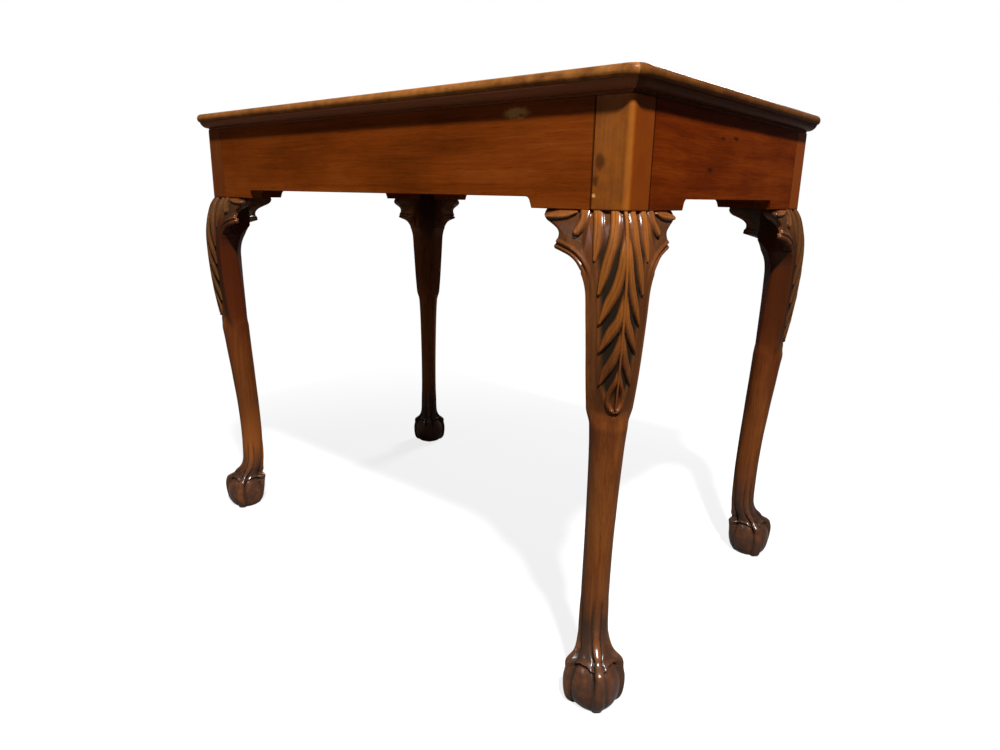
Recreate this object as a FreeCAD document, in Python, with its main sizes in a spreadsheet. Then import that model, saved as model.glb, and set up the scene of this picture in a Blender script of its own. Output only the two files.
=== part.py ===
# A tray top tea table: cabriole legs with claw-and-ball feet under a shaped frame and a rimmed top.
# Lengths are millimetres. The origin is on the floor under the middle of the top,
# X runs along the long rails, Y from front to back, and Z is up.
import FreeCAD
import Part
import Sketcher
import math
import os

SIZES = {
    # Frame: four posts, which are the tops of the legs, and four rails flush with them
    "frame_length": 818,
    "frame_depth": 508,
    "frame_top": 682,
    "frame_height": 108.5,
    "post_size": 42,
    "rail_thickness": 22,
    "rail_rise": 12,
    "drop_length": 119,
    "ramp_radius": 6.5,
    "ramp_angle": 70,
    "tenon_thickness": 8,
    "tenon_setback": 7,
    "tenon_shoulder": 12,
    "tenon_gap": 2,
    # Top: a board with a lapped edge under a mitred rim moulding
    "board_thickness": 16,
    "board_inset": 6,
    "lap_width": 9,
    "lap_height": 4,
    "tray_depth": 8,
    "rim_lift": 3,
    "rim_overhang": 16,
    "rim_top_width": 6,
    "rim_corner_radius": 12,
    "nose_height": 11.5,
    "nose_radius": 7,
    "nose_setback": 5,
    "crease_width": 1.5,
    "hollow_radius": 19,
    "ovolo_radius": 12,
    # Knee: the square, sawn part of the leg, which swells out from the post; drops are taken from the frame's underside
    "knee_drop": 73.5,
    "knee_proud": 13.1,
    "knee_top_proud": 0.8,
    "knee_length": 201.5,
    "knee_end_proud": 5,
    "knee_step": 20,
    "knee_taper": 5.5,
    "shank_face": 33,
    "crook_drop": 88.5,
    "crook_radius": 52,
    # The knee's inner corner, measured along the diagonal from the post's outer corner
    "back_top": 37,
    "back_end": 40.5,
    "back_crook_drop": 98.5,
    "back_crook_radius": 70,
    # Shank and ankle: oval, deeper along the diagonal, with the inset taken from the post's two outer faces
    "shank_inset": 14.6,
    "shank_depth": 43,
    "shank_width": 38,
    "ankle_height": 125,
    "ankle_inset": 23.8,
    "ankle_depth": 34.5,
    "ankle_width": 31,
    # Foot: a ball held by four talons
    "ball_diameter": 62,
    "ball_height": 58,
    "ball_inset": 9.8,
    "neck_diameter": 52,
    "talon_reach": 28.3,
    "talon_height": 78,
    "talon_diameter": 17,
    # Knee brackets under the rails on both sides of each leg
    "bracket_reach": 54,
    "bracket_depth": 20,
    "bracket_undercut": 24,
    "bracket_end_proud": 3,
    "ear_radius": 8,
    "ear_notch_radius": 7,
    "ear_tip_radius": 3.5,
    # Hidden fixings of the top
    "block_size": 25,
    "block_length": 90,
    "screw_radius": 2.4,
    "screw_length": 40,
    "screw_head_radius": 4.6,
    "screw_head_height": 3.4,
    "screw_bite": 10,
    "screw_tilt": 14,
    "pocket_width": 14,
    # Fits, and how far a cutting shape runs past what it cuts
    "joint_clearance": 0.2,
    "overrun": 20,
}

DERIVED = {
    "underside": "Sizes.frame_top - Sizes.frame_height",
    "board_top": "Sizes.frame_top + Sizes.board_thickness",
    "lap_inset": "Sizes.board_inset + Sizes.lap_width",
    "lap_bottom": "Sizes.frame_top + Sizes.board_thickness - Sizes.lap_height",
    "rim_bottom": "Sizes.frame_top + Sizes.rim_lift",
    "rim_top": "Sizes.frame_top + Sizes.board_thickness + Sizes.tray_depth",
    # A corner arc ends on the mitre, this far inside the square corner
    "mitre_cut": "Sizes.rim_corner_radius * (1 - sqrt(2) / 2)",
    "ramp_run": "Sizes.ramp_radius * sin(Sizes.ramp_angle * 1 deg)",
    "ramp_fall": "Sizes.ramp_radius * (1 - cos(Sizes.ramp_angle * 1 deg))",
    "ramp_lean": "(Sizes.rail_rise - Derived.ramp_fall) / tan(Sizes.ramp_angle * 1 deg)",
    "knee_height": "Derived.underside - Sizes.knee_drop",
    "knee_end_height": "Derived.underside - Sizes.knee_length",
    "crook_height": "Derived.underside - Sizes.crook_drop",
    "back_crook_height": "Derived.underside - Sizes.back_crook_drop",
    # The knee's two outer arcs meet upright at its proudest point
    "knee_upper_in": "Sizes.knee_proud - Sizes.knee_top_proud",
    "knee_upper_radius":
        "(Sizes.knee_drop ^ 2 + Derived.knee_upper_in ^ 2) / (2 * Derived.knee_upper_in)",
    "knee_lower_fall": "Sizes.knee_length - Sizes.knee_drop",
    "knee_lower_in": "Sizes.knee_proud - Sizes.knee_end_proud",
    "knee_lower_radius":
        "(Derived.knee_lower_fall ^ 2 + Derived.knee_lower_in ^ 2) / (2 * Derived.knee_lower_in)",
    "knee_foot": "Derived.knee_end_height - Sizes.knee_step",
    # The crook is one arc, which runs from the shank's inner face on into the bracket
    "crook_centre": "Sizes.shank_face + Sizes.crook_radius",
    "bracket_foot":
        "Derived.crook_height + sqrt(Sizes.crook_radius ^ 2 - (Derived.crook_centre - Sizes.post_size) ^ 2)",
    "bracket_height": "Derived.underside - Derived.bracket_foot",
    # The inner corner's own crook, out to where the cutting shape ends
    "back_crook_run": "Sizes.post_size * sqrt(2) + Sizes.overrun - Sizes.back_top",
    "back_crook_end":
        "Derived.back_crook_height"
        " + sqrt(Sizes.back_crook_radius ^ 2 - (Sizes.back_crook_radius - Derived.back_crook_run) ^ 2)",
    "ball_centre": "Sizes.ball_height - Sizes.ball_diameter / 2",
    "tenon_height": "Sizes.frame_height - 2 * Sizes.tenon_shoulder",
    # Two tenons meet in each post, and each stops short of the other's mortise
    "tenon_length": "Sizes.post_size - Sizes.tenon_setback - Sizes.tenon_thickness - Sizes.tenon_gap",
    "tenon_bottom": "Derived.underside + Sizes.tenon_shoulder",
    "screw_seat": "Sizes.screw_length - Sizes.screw_bite",
}

# From ankle to knee step: share of the height, then of the inset, depth and width towards the shank's
SHANK_SHARES = (
    (0.97, 1.0, 1.0, 1.0),
    (0.77, 0.74, 0.70, 0.45),
    (0.57, 0.46, 0.37, 0.18),
    (0.37, 0.21, 0.10, 0.02),
    (0.18, 0.05, 0.0, 0.0),
)
# Below the ankle: share of its height, then of the inset towards the ball's, depth and width towards the neck's
NECK_SHARES = (
    (1.0, 0.0, 0.0, 0.0),
    (0.80, 0.01, 0.05, 0.10),
    (0.64, 0.07, 0.12, 0.22),
    (0.53, 0.20, 0.33, 0.45),
    (0.40, 0.70, 1.0, 1.0),
)
# Up the ball: share of its height
BALL_SHARES = (0.0, 0.11, 0.24, 0.38, 0.53, 0.67, 0.80, 0.91)
# Down a talon: share of its height, of the way from the ankle's axis to the ball's, of its reach and girth
TALON_SHARES = (
    (1.0, 0.0, 0.34, 0.88),
    (0.85, 0.25, 0.53, 0.94),
    (0.69, 0.85, 0.92, 1.0),
    (0.51, 1.0, 0.97, 0.88),
    (0.32, 1.0, 1.0, 0.96),
    (0.13, 1.0, 0.92, 0.80),
    (0.0, 1.0, 0.83, 0.59),
)
# Round an ear from the end of the crook: share of the bracket's reach, then of its height down
EAR_SHARES = ((0.745, 0.575), (0.70, 0.49), (0.73, 0.33), (0.88, 0.22), (0.98, 0.12))
EAR_CROOK_SHARE = 0.70
BLOCK_SHARES = {"front": (-0.34, 0.0, 0.34), "right": (-0.27, 0.27)}
SCREW_SHARES = {"front": (-0.17, 0.17), "right": (0.0,)}
# Where a screw leaves the rail, as a share of the rail's thickness from its outer face
SCREW_EXIT_SHARE = 0.6

# Sides and corners are turned copies: angle about Z, then the unit steps to the outside and along the side
SIDES = {
    "front": (0, "frame_length", "frame_depth", (0, -1), (1, 0)),
    "right": (90, "frame_depth", "frame_length", (1, 0), (0, 1)),
    "back": (180, "frame_length", "frame_depth", (0, 1), (-1, 0)),
    "left": (270, "frame_depth", "frame_length", (-1, 0), (0, -1)),
}
OPPOSITE = {"back": "front", "left": "right"}
CORNERS = {
    "front_left": (0, -1, -1),
    "front_right": (90, 1, -1),
    "back_right": (180, 1, 1),
    "back_left": (270, -1, 1),
}
UP = FreeCAD.Vector(0, 0, 1)
UPRIGHT = FreeCAD.Rotation(FreeCAD.Vector(1, 0, 0), 90)
DIAGONAL_ANGLE = 45
# Facets round the carved lengths, which the carver rounds off
SHANK_SIDES = 14
TALON_SIDES = 8

doc = FreeCAD.newDocument("tray_top_tea_table")
nodes = []


def fill_sheet(name, cells, prefix):
    """Put named cells in a spreadsheet, plain numbers or formulas."""
    sheet = doc.addObject("Spreadsheet::Sheet", name)
    for row, (alias, content) in enumerate(cells.items(), start=1):
        sheet.set(f"A{row}", alias)
        sheet.set(f"B{row}", f"{prefix}{content}")
        sheet.setAlias(f"B{row}", alias)
    doc.recompute()
    return sheet


def bind(item, expressions):
    """Tie properties of a document object to expressions on the sheets."""
    for path, expression in expressions.items():
        item.setExpression(path, expression)
    return item


def value(expression):
    """The number that an expression has now, for the first guess of a sketch."""
    return float(sizes.evalExpression(expression))


def plane_of(body, role):
    """One of a body's own origin planes."""
    return next(feature for feature in body.Origin.OriginFeatures if feature.Role == role)


def body_sketch(body, name, role, offset="0"):
    """A sketch on an origin plane of its body, raised along the plane's normal."""
    sketch = body.newObject("Sketcher::SketchObject", name)
    sketch.AttachmentSupport = [(plane_of(body, role), "")]
    sketch.MapMode = "FlatFace"
    return bind(sketch, {"AttachmentOffset.Base.z": offset})


def free_sketch(name, angle=None):
    """A sketch in plan, or upright and turned about Z by an angle."""
    sketch = doc.addObject("Sketcher::SketchObject", name)
    if angle is not None:
        sketch.Placement.Rotation = FreeCAD.Rotation(UP, angle) * UPRIGHT
    return sketch


def edge_curve(start, end, bend):
    """A line, or an arc of under a half circle, and whether its own sense runs from start to end."""
    if bend is None:
        return Part.LineSegment(start, end), True
    radius, side = value(bend[0]), bend[1]
    chord = end - start
    left = FreeCAD.Vector(-chord.y, chord.x, 0).normalize()
    lift = math.sqrt(radius ** 2 - (chord.Length / 2) ** 2)
    centre = start + chord / 2 + left * (lift if side == "out" else -lift)
    first, last = (start, end) if side == "out" else (end, start)
    angles = [math.atan2(point.y - centre.y, point.x - centre.x) for point in (first, last)]
    return Part.ArcOfCircle(Part.Circle(centre, UP, radius), *angles), side == "out"


def draw_outline(sketch, corners, bends=None):
    """Close an anticlockwise chain of lines and arcs, with each corner and radius tied to its expression.

    bends gives, by the number of the edge's first corner, a radius and whether the arc swells out or in.
    """
    bends = bends or {}
    points = [FreeCAD.Vector(value(across), value(up), 0) for across, up in corners]
    edges = []
    for index, start in enumerate(points):
        curve, forward = edge_curve(start, points[(index + 1) % len(points)], bends.get(index))
        edges.append((sketch.addGeometry(curve), 1 if forward else 2, 2 if forward else 1))
    for index, (edge, first, last) in enumerate(edges):
        previous, _, previous_last = edges[index - 1]
        sketch.addConstraint(Sketcher.Constraint("Coincident", previous, previous_last, edge, first))
    for index, (edge, first, last) in enumerate(edges):
        for kind, expression in zip(("DistanceX", "DistanceY"), corners[index]):
            name = f"{kind}{index}"
            number = value(expression)
            place = sketch.addConstraint(Sketcher.Constraint(kind, -1, 1, edge, first, number))
            sketch.renameConstraint(place, name)
            sketch.setExpression(f"Constraints.{name}", expression)
        if index in bends:
            name = f"Radius{index}"
            place = sketch.addConstraint(Sketcher.Constraint("Radius", edge, value(bends[index][0])))
            sketch.renameConstraint(place, name)
            sketch.setExpression(f"Constraints.{name}", bends[index][0])
    return sketch


def rectangle(left, bottom, right, top):
    """Corners of a rectangle for draw_outline."""
    return [(left, bottom), (right, bottom), (right, top), (left, top)]


def extrude(name, sketch, forward, backward="0"):
    """A solid along a free sketch's normal, to both sides of it."""
    solid = doc.addObject("Part::Extrusion", name)
    solid.Base = sketch
    solid.DirMode = "Normal"
    solid.Solid = True
    return bind(solid, {"LengthFwd": forward, "LengthRev": backward})


def combine(kind, name, shapes):
    """A fusion or an intersection of several shapes."""
    result = doc.addObject(kind, name)
    result.Shapes = shapes
    result.Refine = True
    return result


def cut(name, base, tool):
    """One shape less another."""
    result = doc.addObject("Part::Cut", name)
    result.Base = base
    result.Tool = tool
    result.Refine = True
    return result


def box(name, lengths, base):
    """A block by its three lengths and its least corner."""
    sides = dict(zip(("Length", "Width", "Height"), lengths))
    places = {f"Placement.Base.{axis}": place for axis, place in zip("xyz", base)}
    return bind(doc.addObject("Part::Box", name), {**sides, **places})


def loft(name, rings, sides):
    """A faceted solid through level ovals, each given as depth, width, x, y and z, with its depth on the diagonal."""
    sections = []
    for number, (depth, width, *place) in enumerate(rings):
        oval = doc.addObject("Sketcher::SketchObject", f"{name}_ring_{number}")
        oval.Placement.Rotation = FreeCAD.Rotation(UP, DIAGONAL_ANGLE)
        bind(oval, {f"Placement.Base.{axis}": step for axis, step in zip("xyz", place)})
        turns = [2 * math.pi * (corner + 0.5) / sides for corner in range(sides)]
        draw_outline(oval, [
            (f"({depth}) / 2 * {math.cos(turn)}", f"({width}) / 2 * {math.sin(turn)}") for turn in turns
        ])
        sections.append(oval)
    solid = doc.addObject("Part::Loft", name)
    solid.Sections = sections
    solid.Solid = True
    solid.Ruled = True
    return solid


def group(name, items):
    """Several separate solids kept as one object."""
    compound = doc.addObject("Part::Compound", name)
    compound.Links = items
    return compound


def placed_copy(name, source, rotation, places):
    """A turned and moved copy that follows its source."""
    copy = doc.addObject("App::Link", name)
    copy.LinkedObject = source
    copy.Placement.Rotation = rotation
    return bind(copy, {f"Placement.Base.{axis}": place for axis, place in places.items()})


def side_places(side, shift="0"):
    """Where a side's own frame goes: its outer face, moved along the side by shift."""
    _, _, across, out, along = SIDES[side]
    return {axis: f"{out[i]} * Sizes.{across} / 2 + {along[i]} * ({shift})" for i, axis in enumerate("xy")}


def node(item, label):
    """Name a finished piece and list it for writing."""
    item.Label = label
    nodes.append(item)
    return item


# Leg, in a frame at the post's outer corner on the floor, with X and Y inwards along the two rails

def saw_outline(name, angle):
    """The knee as it is sawn from one side: proud outside, crooked in under the bracket, tapered at its end."""
    corners = [
        ("-Sizes.knee_end_proud + Sizes.knee_taper", "Derived.knee_foot"),
        ("Sizes.shank_face - Sizes.knee_taper", "Derived.knee_foot"),
        ("Sizes.shank_face", "Derived.knee_end_height"),
        ("Sizes.shank_face", "Derived.crook_height"),
        ("Sizes.post_size", "Derived.bracket_foot"),
        ("Sizes.post_size", "Derived.underside"),
        ("-Sizes.knee_top_proud", "Derived.underside"),
        ("-Sizes.knee_proud", "Derived.knee_height"),
        ("-Sizes.knee_end_proud", "Derived.knee_end_height"),
    ]
    bends = {
        3: ("Sizes.crook_radius", "in"),
        6: ("Derived.knee_upper_radius", "out"),
        7: ("Derived.knee_lower_radius", "out"),
    }
    return draw_outline(free_sketch(name, angle), corners, bends)


def make_knee():
    """Two saw cuts at right angles, then the inner corner taken off under the crook."""
    outside = "Sizes.knee_proud + Sizes.overrun"
    inside = "Sizes.post_size + Sizes.overrun"
    front_cut = extrude("knee_front_cut", saw_outline("knee_front_outline", 0), outside, inside)
    side_cut = extrude("knee_side_cut", saw_outline("knee_side_outline", 90), inside, outside)
    blank = combine("Part::MultiCommon", "knee_blank", [front_cut, side_cut])
    far = "Sizes.post_size * sqrt(2) + Sizes.overrun"
    low = "Derived.knee_foot - Sizes.overrun"
    corners = [
        ("Sizes.back_end", low),
        (far, low),
        (far, "Derived.back_crook_end"),
        ("Sizes.back_top", "Derived.back_crook_height"),
        ("Sizes.back_end", "Derived.knee_end_height"),
    ]
    outline = draw_outline(
        free_sketch("knee_back_outline", DIAGONAL_ANGLE), corners, {2: ("Sizes.back_crook_radius", "out")}
    )
    width = "Sizes.post_size + Sizes.overrun"
    return cut("knee", blank, extrude("knee_back_cut", outline, width, width))


def between(first, second, share):
    """Part of the way from one size to another."""
    return f"Sizes.{first} + (Sizes.{second} - Sizes.{first}) * {share}"


def make_shank():
    """Oval from inside the knee down through the ankle into the ball."""
    core_inset = "(Sizes.shank_face - Sizes.knee_end_proud) / 2"
    core_width = "Sizes.shank_face + Sizes.knee_end_proud - Sizes.knee_taper"
    rings = [(core_width, core_width, core_inset, core_inset, "Derived.knee_end_height")]
    for height, inset, depth, width in SHANK_SHARES:
        place = between("ankle_inset", "shank_inset", inset)
        level = f"Sizes.ankle_height + (Derived.knee_foot - Sizes.ankle_height) * {height}"
        oval = (between("ankle_depth", "shank_depth", depth), between("ankle_width", "shank_width", width))
        rings.append((*oval, place, place, level))
    for height, inset, depth, width in NECK_SHARES:
        place = between("ankle_inset", "ball_inset", inset)
        oval = (between("ankle_depth", "neck_diameter", depth), between("ankle_width", "neck_diameter", width))
        rings.append((*oval, place, place, f"Sizes.ankle_height * {height}"))
    return loft("shank", rings, SHANK_SIDES)


def make_talon(number):
    """One of four talons, a quarter turn apart, from the ankle over the ball to the floor."""
    angle = math.radians(DIAGONAL_ANGLE + 90 * number)
    rings = []
    for height, blend, reach, girth in TALON_SHARES:
        axis = between("ankle_inset", "ball_inset", blend)
        steps = [f"{axis} + Sizes.talon_reach * {reach * step}" for step in (math.cos(angle), math.sin(angle))]
        width = f"Sizes.talon_diameter * {girth}"
        rings.append((width, width, *steps, f"Sizes.talon_height * {height}"))
    return loft(f"talon_{number}", rings, TALON_SIDES)


def make_ball():
    """A ball flattened where it stands, cut as rings of facets."""
    rings = []
    for share in BALL_SHARES:
        level = f"Sizes.ball_height * {share}"
        width = f"sqrt(Sizes.ball_diameter ^ 2 - 4 * ({level} - Derived.ball_centre) ^ 2)"
        rings.append((width, width, "Sizes.ball_inset", "Sizes.ball_inset", level))
    return loft("ball", rings, SHANK_SIDES)


def make_leg():
    """Post, knee, shank and foot in one stick, mortised for two rails."""
    post = box(
        "post",
        ("Sizes.post_size", "Sizes.post_size", "Sizes.frame_height"),
        ("0", "0", "Derived.underside"),
    )
    talons = [make_talon(number) for number in range(4)]
    stick = combine("Part::MultiFuse", "leg_stick", [post, make_knee(), make_shank(), make_ball(), *talons])
    depth = "Derived.tenon_length + Sizes.joint_clearance + Sizes.overrun"
    width = "Sizes.tenon_thickness + 2 * Sizes.joint_clearance"
    height = "Derived.tenon_height + 2 * Sizes.joint_clearance"
    bottom = "Sizes.post_size - Derived.tenon_length - Sizes.joint_clearance"
    cheek = "Sizes.tenon_setback - Sizes.joint_clearance"
    sill = "Derived.tenon_bottom - Sizes.joint_clearance"
    mortises = [
        box("mortise_x", (depth, width, height), (bottom, cheek, sill)),
        box("mortise_y", (width, depth, height), (cheek, bottom, sill)),
    ]
    return cut("leg", stick, group("mortises", mortises))


def make_bracket():
    """An ear with two lobes over the crook, faced like the knee, thinned to its tip and undercut behind."""
    def across(share):
        return f"Sizes.post_size + Sizes.bracket_reach * {share}"

    def down(share):
        return f"Derived.underside - Derived.bracket_height * {share}"

    crook_end = (
        "Derived.crook_height + sqrt(Sizes.crook_radius ^ 2"
        f" - (Derived.crook_centre - ({across(EAR_CROOK_SHARE)})) ^ 2)"
    )
    corners = [
        ("Sizes.post_size", "Derived.underside"),
        ("Sizes.post_size", "Derived.bracket_foot"),
        (across(EAR_CROOK_SHARE), crook_end),
        *[(across(reach), down(height)) for reach, height in EAR_SHARES],
        (across(1), "Derived.underside"),
    ]
    bends = {
        1: ("Sizes.crook_radius", "in"),
        2: ("Sizes.ear_tip_radius", "out"),
        4: ("Sizes.ear_notch_radius", "in"),
        6: ("Sizes.ear_radius", "out"),
    }
    outline = draw_outline(free_sketch("bracket_outline", 0), corners, bends)
    past = "Sizes.knee_proud + Sizes.overrun"
    ear = extrude("bracket_ear", outline, past, "Sizes.bracket_depth + Sizes.overrun")
    reach = "Sizes.post_size + Sizes.bracket_reach + Sizes.overrun"
    side = draw_outline(free_sketch("bracket_side_outline", 90), [
        ("-Sizes.knee_proud", "Derived.knee_height"),
        ("Sizes.bracket_depth - Sizes.bracket_undercut", "Derived.knee_height"),
        ("Sizes.bracket_depth", "Derived.underside"),
        ("-Sizes.knee_top_proud", "Derived.underside"),
    ], {3: ("Derived.knee_upper_radius", "out")})
    face = extrude("bracket_face", side, reach)
    plan = draw_outline(free_sketch("bracket_plan"), [
        ("Sizes.post_size", "-Sizes.knee_proud"),
        ("Sizes.post_size + Sizes.bracket_reach", "-Sizes.bracket_end_proud"),
        ("Sizes.post_size + Sizes.bracket_reach", "Sizes.bracket_depth"),
        ("Sizes.post_size", "Sizes.bracket_depth"),
    ])
    thinned = extrude("bracket_thinned", plan, "Sizes.frame_top")
    return combine("Part::MultiCommon", "bracket", [ear, face, thinned])


def place_legs():
    """Four legs, and on each a bracket under the long rail and its mirror image under the short one."""
    leg = make_leg()
    bracket = make_bracket()
    mirrored = doc.addObject("Part::Mirroring", "bracket_mirrored")
    mirrored.Source = bracket
    mirrored.Normal = FreeCAD.Vector(1, -1, 0)
    for corner, (angle, side_x, side_y) in CORNERS.items():
        rotation = FreeCAD.Rotation(UP, angle)
        places = {"x": f"{side_x} * Sizes.frame_length / 2", "y": f"{side_y} * Sizes.frame_depth / 2"}
        long_way, short_way = (bracket, mirrored) if angle in (0, 180) else (mirrored, bracket)
        node(placed_copy(f"leg_{corner}", leg, rotation, places), f"leg_{corner}")
        for run, source in (("long", long_way), ("short", short_way)):
            label = f"bracket_{corner}_{run}"
            node(placed_copy(label, source, rotation, places), label)


# Rails, each in the frame of its side: X along it, Y inwards from its outer face

def make_rail(side):
    """A rail whose lower edge drops at both ends, with a tenon at each end."""
    run = SIDES[side][1]
    end = f"(Sizes.{run} / 2 - Sizes.post_size)"
    drop = f"(Sizes.{run} / 2 - Sizes.drop_length)"
    lean = f"({drop} - Derived.ramp_lean)"
    rise = f"({lean} - Derived.ramp_run)"
    middle = "Derived.underside + Sizes.rail_rise"
    low = "Derived.underside"
    tangent = "Derived.underside + Sizes.rail_rise - Derived.ramp_fall"
    body = doc.addObject("PartDesign::Body", f"rail_body_{side}")
    outline = draw_outline(
        body_sketch(body, f"rail_outline_{side}", "XZ_Plane"),
        [
            (f"-{end}", low), (f"-{drop}", low), (f"-{lean}", tangent), (f"-{rise}", middle),
            (rise, middle), (lean, tangent), (drop, low), (end, low),
            (end, "Sizes.frame_top"), (f"-{end}", "Sizes.frame_top"),
        ],
        {2: ("Sizes.ramp_radius", "in"), 4: ("Sizes.ramp_radius", "in")},
    )
    pad = body.newObject("PartDesign::Pad", f"rail_pad_{side}")
    pad.Profile = outline
    pad.Reversed = True
    bind(pad, {"Length": "Sizes.rail_thickness"})
    reach = f"({end} + Derived.tenon_length)"
    tenon_top = "Sizes.frame_top - Sizes.tenon_shoulder"
    tenon = draw_outline(
        body_sketch(body, f"tenon_outline_{side}", "XZ_Plane", "-Sizes.tenon_setback"),
        rectangle(f"-{reach}", "Derived.tenon_bottom", reach, tenon_top),
    )
    tongue = body.newObject("PartDesign::Pad", f"tenon_pad_{side}")
    tongue.Profile = tenon
    tongue.Reversed = True
    bind(tongue, {"Length": "Sizes.tenon_thickness"})
    return body


def shares_of(table, side):
    """Places along a side, the same on opposite sides."""
    return table[OPPOSITE.get(side, side)]


def make_screw():
    """A slotless wood screw with its axis up and its origin where it leaves the rail's top."""
    body = doc.addObject("PartDesign::Body", "screw")
    sketch = draw_outline(body_sketch(body, "screw_outline", "XZ_Plane"), [
        ("0", "-Derived.screw_seat - Sizes.screw_head_height"),
        ("Sizes.screw_head_radius", "-Derived.screw_seat - Sizes.screw_head_height"),
        ("Sizes.screw_head_radius", "-Derived.screw_seat"),
        ("Sizes.screw_radius", "-Derived.screw_seat"),
        ("Sizes.screw_radius", "Sizes.screw_bite"),
        ("0", "Sizes.screw_bite"),
    ])
    turned = body.newObject("PartDesign::Revolution", "screw_turned")
    turned.Profile = sketch
    turned.ReferenceAxis = (sketch, ["V_Axis"])
    return body


def make_screw_void():
    """The hole that the screw passes through, and the chiselled pocket that its head sits in."""
    hole = bind(doc.addObject("Part::Cylinder", "screw_hole"), {
        "Radius": "Sizes.screw_radius + Sizes.joint_clearance",
        "Height": "Sizes.screw_length + Sizes.joint_clearance",
        "Placement.Base.z": "-Derived.screw_seat",
    })
    length = "(Sizes.rail_thickness + Sizes.pocket_width) / sin(Sizes.screw_tilt * 1 deg)"
    pocket = box(
        "screw_pocket",
        ("Sizes.pocket_width", "Sizes.pocket_width", length),
        ("-Sizes.pocket_width / 2", "-Sizes.pocket_width / 2", f"-Derived.screw_seat - {length}"),
    )
    return combine("Part::MultiFuse", "screw_void", [hole, pocket])


def place_screws(name, source, side):
    """Copies of a screw or its void along one rail, leaning inwards below."""
    angle, run, _, outside, _ = SIDES[side]
    tilt = FreeCAD.Rotation(FreeCAD.Vector(1, 0, 0), value("Sizes.screw_tilt"))
    copies = []
    for number, share in enumerate(shares_of(SCREW_SHARES, side)):
        places = side_places(side, f"Sizes.{run} * {share}")
        for axis, step in zip("xy", outside):
            places[axis] += f" - {step} * Sizes.rail_thickness * {SCREW_EXIT_SHARE}"
        places["z"] = "Sizes.frame_top"
        copies.append(placed_copy(f"{name}_{side}_{number}", source, FreeCAD.Rotation(UP, angle) * tilt, places))
    return copies


def place_rails(void):
    """Four rails, cut for their screws."""
    for side, (angle, *_) in SIDES.items():
        turned = placed_copy(f"rail_placed_{side}", make_rail(side), FreeCAD.Rotation(UP, angle), side_places(side))
        pockets = group(f"rail_pockets_{side}", place_screws("rail_void", void, side))
        node(cut(f"rail_{side}", turned, pockets), f"rail_{side}")


def place_blocks():
    """Glue blocks in the angle between rail and top, chamfered on the free edge."""
    chamfer_share = 0.4
    body = doc.addObject("PartDesign::Body", "glue_block")
    near = "Sizes.rail_thickness"
    far = "Sizes.rail_thickness + Sizes.block_size"
    low = "Sizes.frame_top - Sizes.block_size"
    sketch = draw_outline(body_sketch(body, "glue_block_outline", "YZ_Plane"), [
        (near, low),
        (f"{near} + Sizes.block_size * {chamfer_share}", low),
        (far, f"Sizes.frame_top - Sizes.block_size * {chamfer_share}"),
        (far, "Sizes.frame_top"),
        (near, "Sizes.frame_top"),
    ])
    pad = body.newObject("PartDesign::Pad", "glue_block_pad")
    pad.Profile = sketch
    pad.Midplane = True
    bind(pad, {"Length": "Sizes.block_length"})
    for side, (angle, run, *_) in SIDES.items():
        copies = [
            placed_copy(f"block_{side}_{number}", body, FreeCAD.Rotation(UP, angle),
                        side_places(side, f"Sizes.{run} * {share}"))
            for number, share in enumerate(shares_of(BLOCK_SHARES, side))
        ]
        node(group(f"glue_blocks_{side}", copies), f"glue_blocks_{side}")


# Top, in the table's own frame, and its rim in the frame of each side

def make_board(void):
    """The tray's floor: a board whose upper edge is lapped for the rim."""
    body = doc.addObject("PartDesign::Body", "board_body")
    steps = (
        ("board", "Sizes.board_inset", "Sizes.frame_top", "Sizes.board_thickness - Sizes.lap_height"),
        ("tray", "Derived.lap_inset", "Derived.lap_bottom", "Sizes.lap_height"),
    )
    for name, inset, bottom, height in steps:
        half_x = f"(Sizes.frame_length / 2 - {inset})"
        half_y = f"(Sizes.frame_depth / 2 - {inset})"
        sketch = body_sketch(body, f"{name}_outline", "XY_Plane", bottom)
        draw_outline(sketch, rectangle(f"-{half_x}", f"-{half_y}", half_x, half_y))
        pad = body.newObject("PartDesign::Pad", f"{name}_pad")
        pad.Profile = sketch
        bind(pad, {"Length": height})
    holes = [copy for side in SIDES for copy in place_screws("board_void", void, side)]
    node(cut("top_board", body, group("board_holes", holes)), "top_board")


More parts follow.
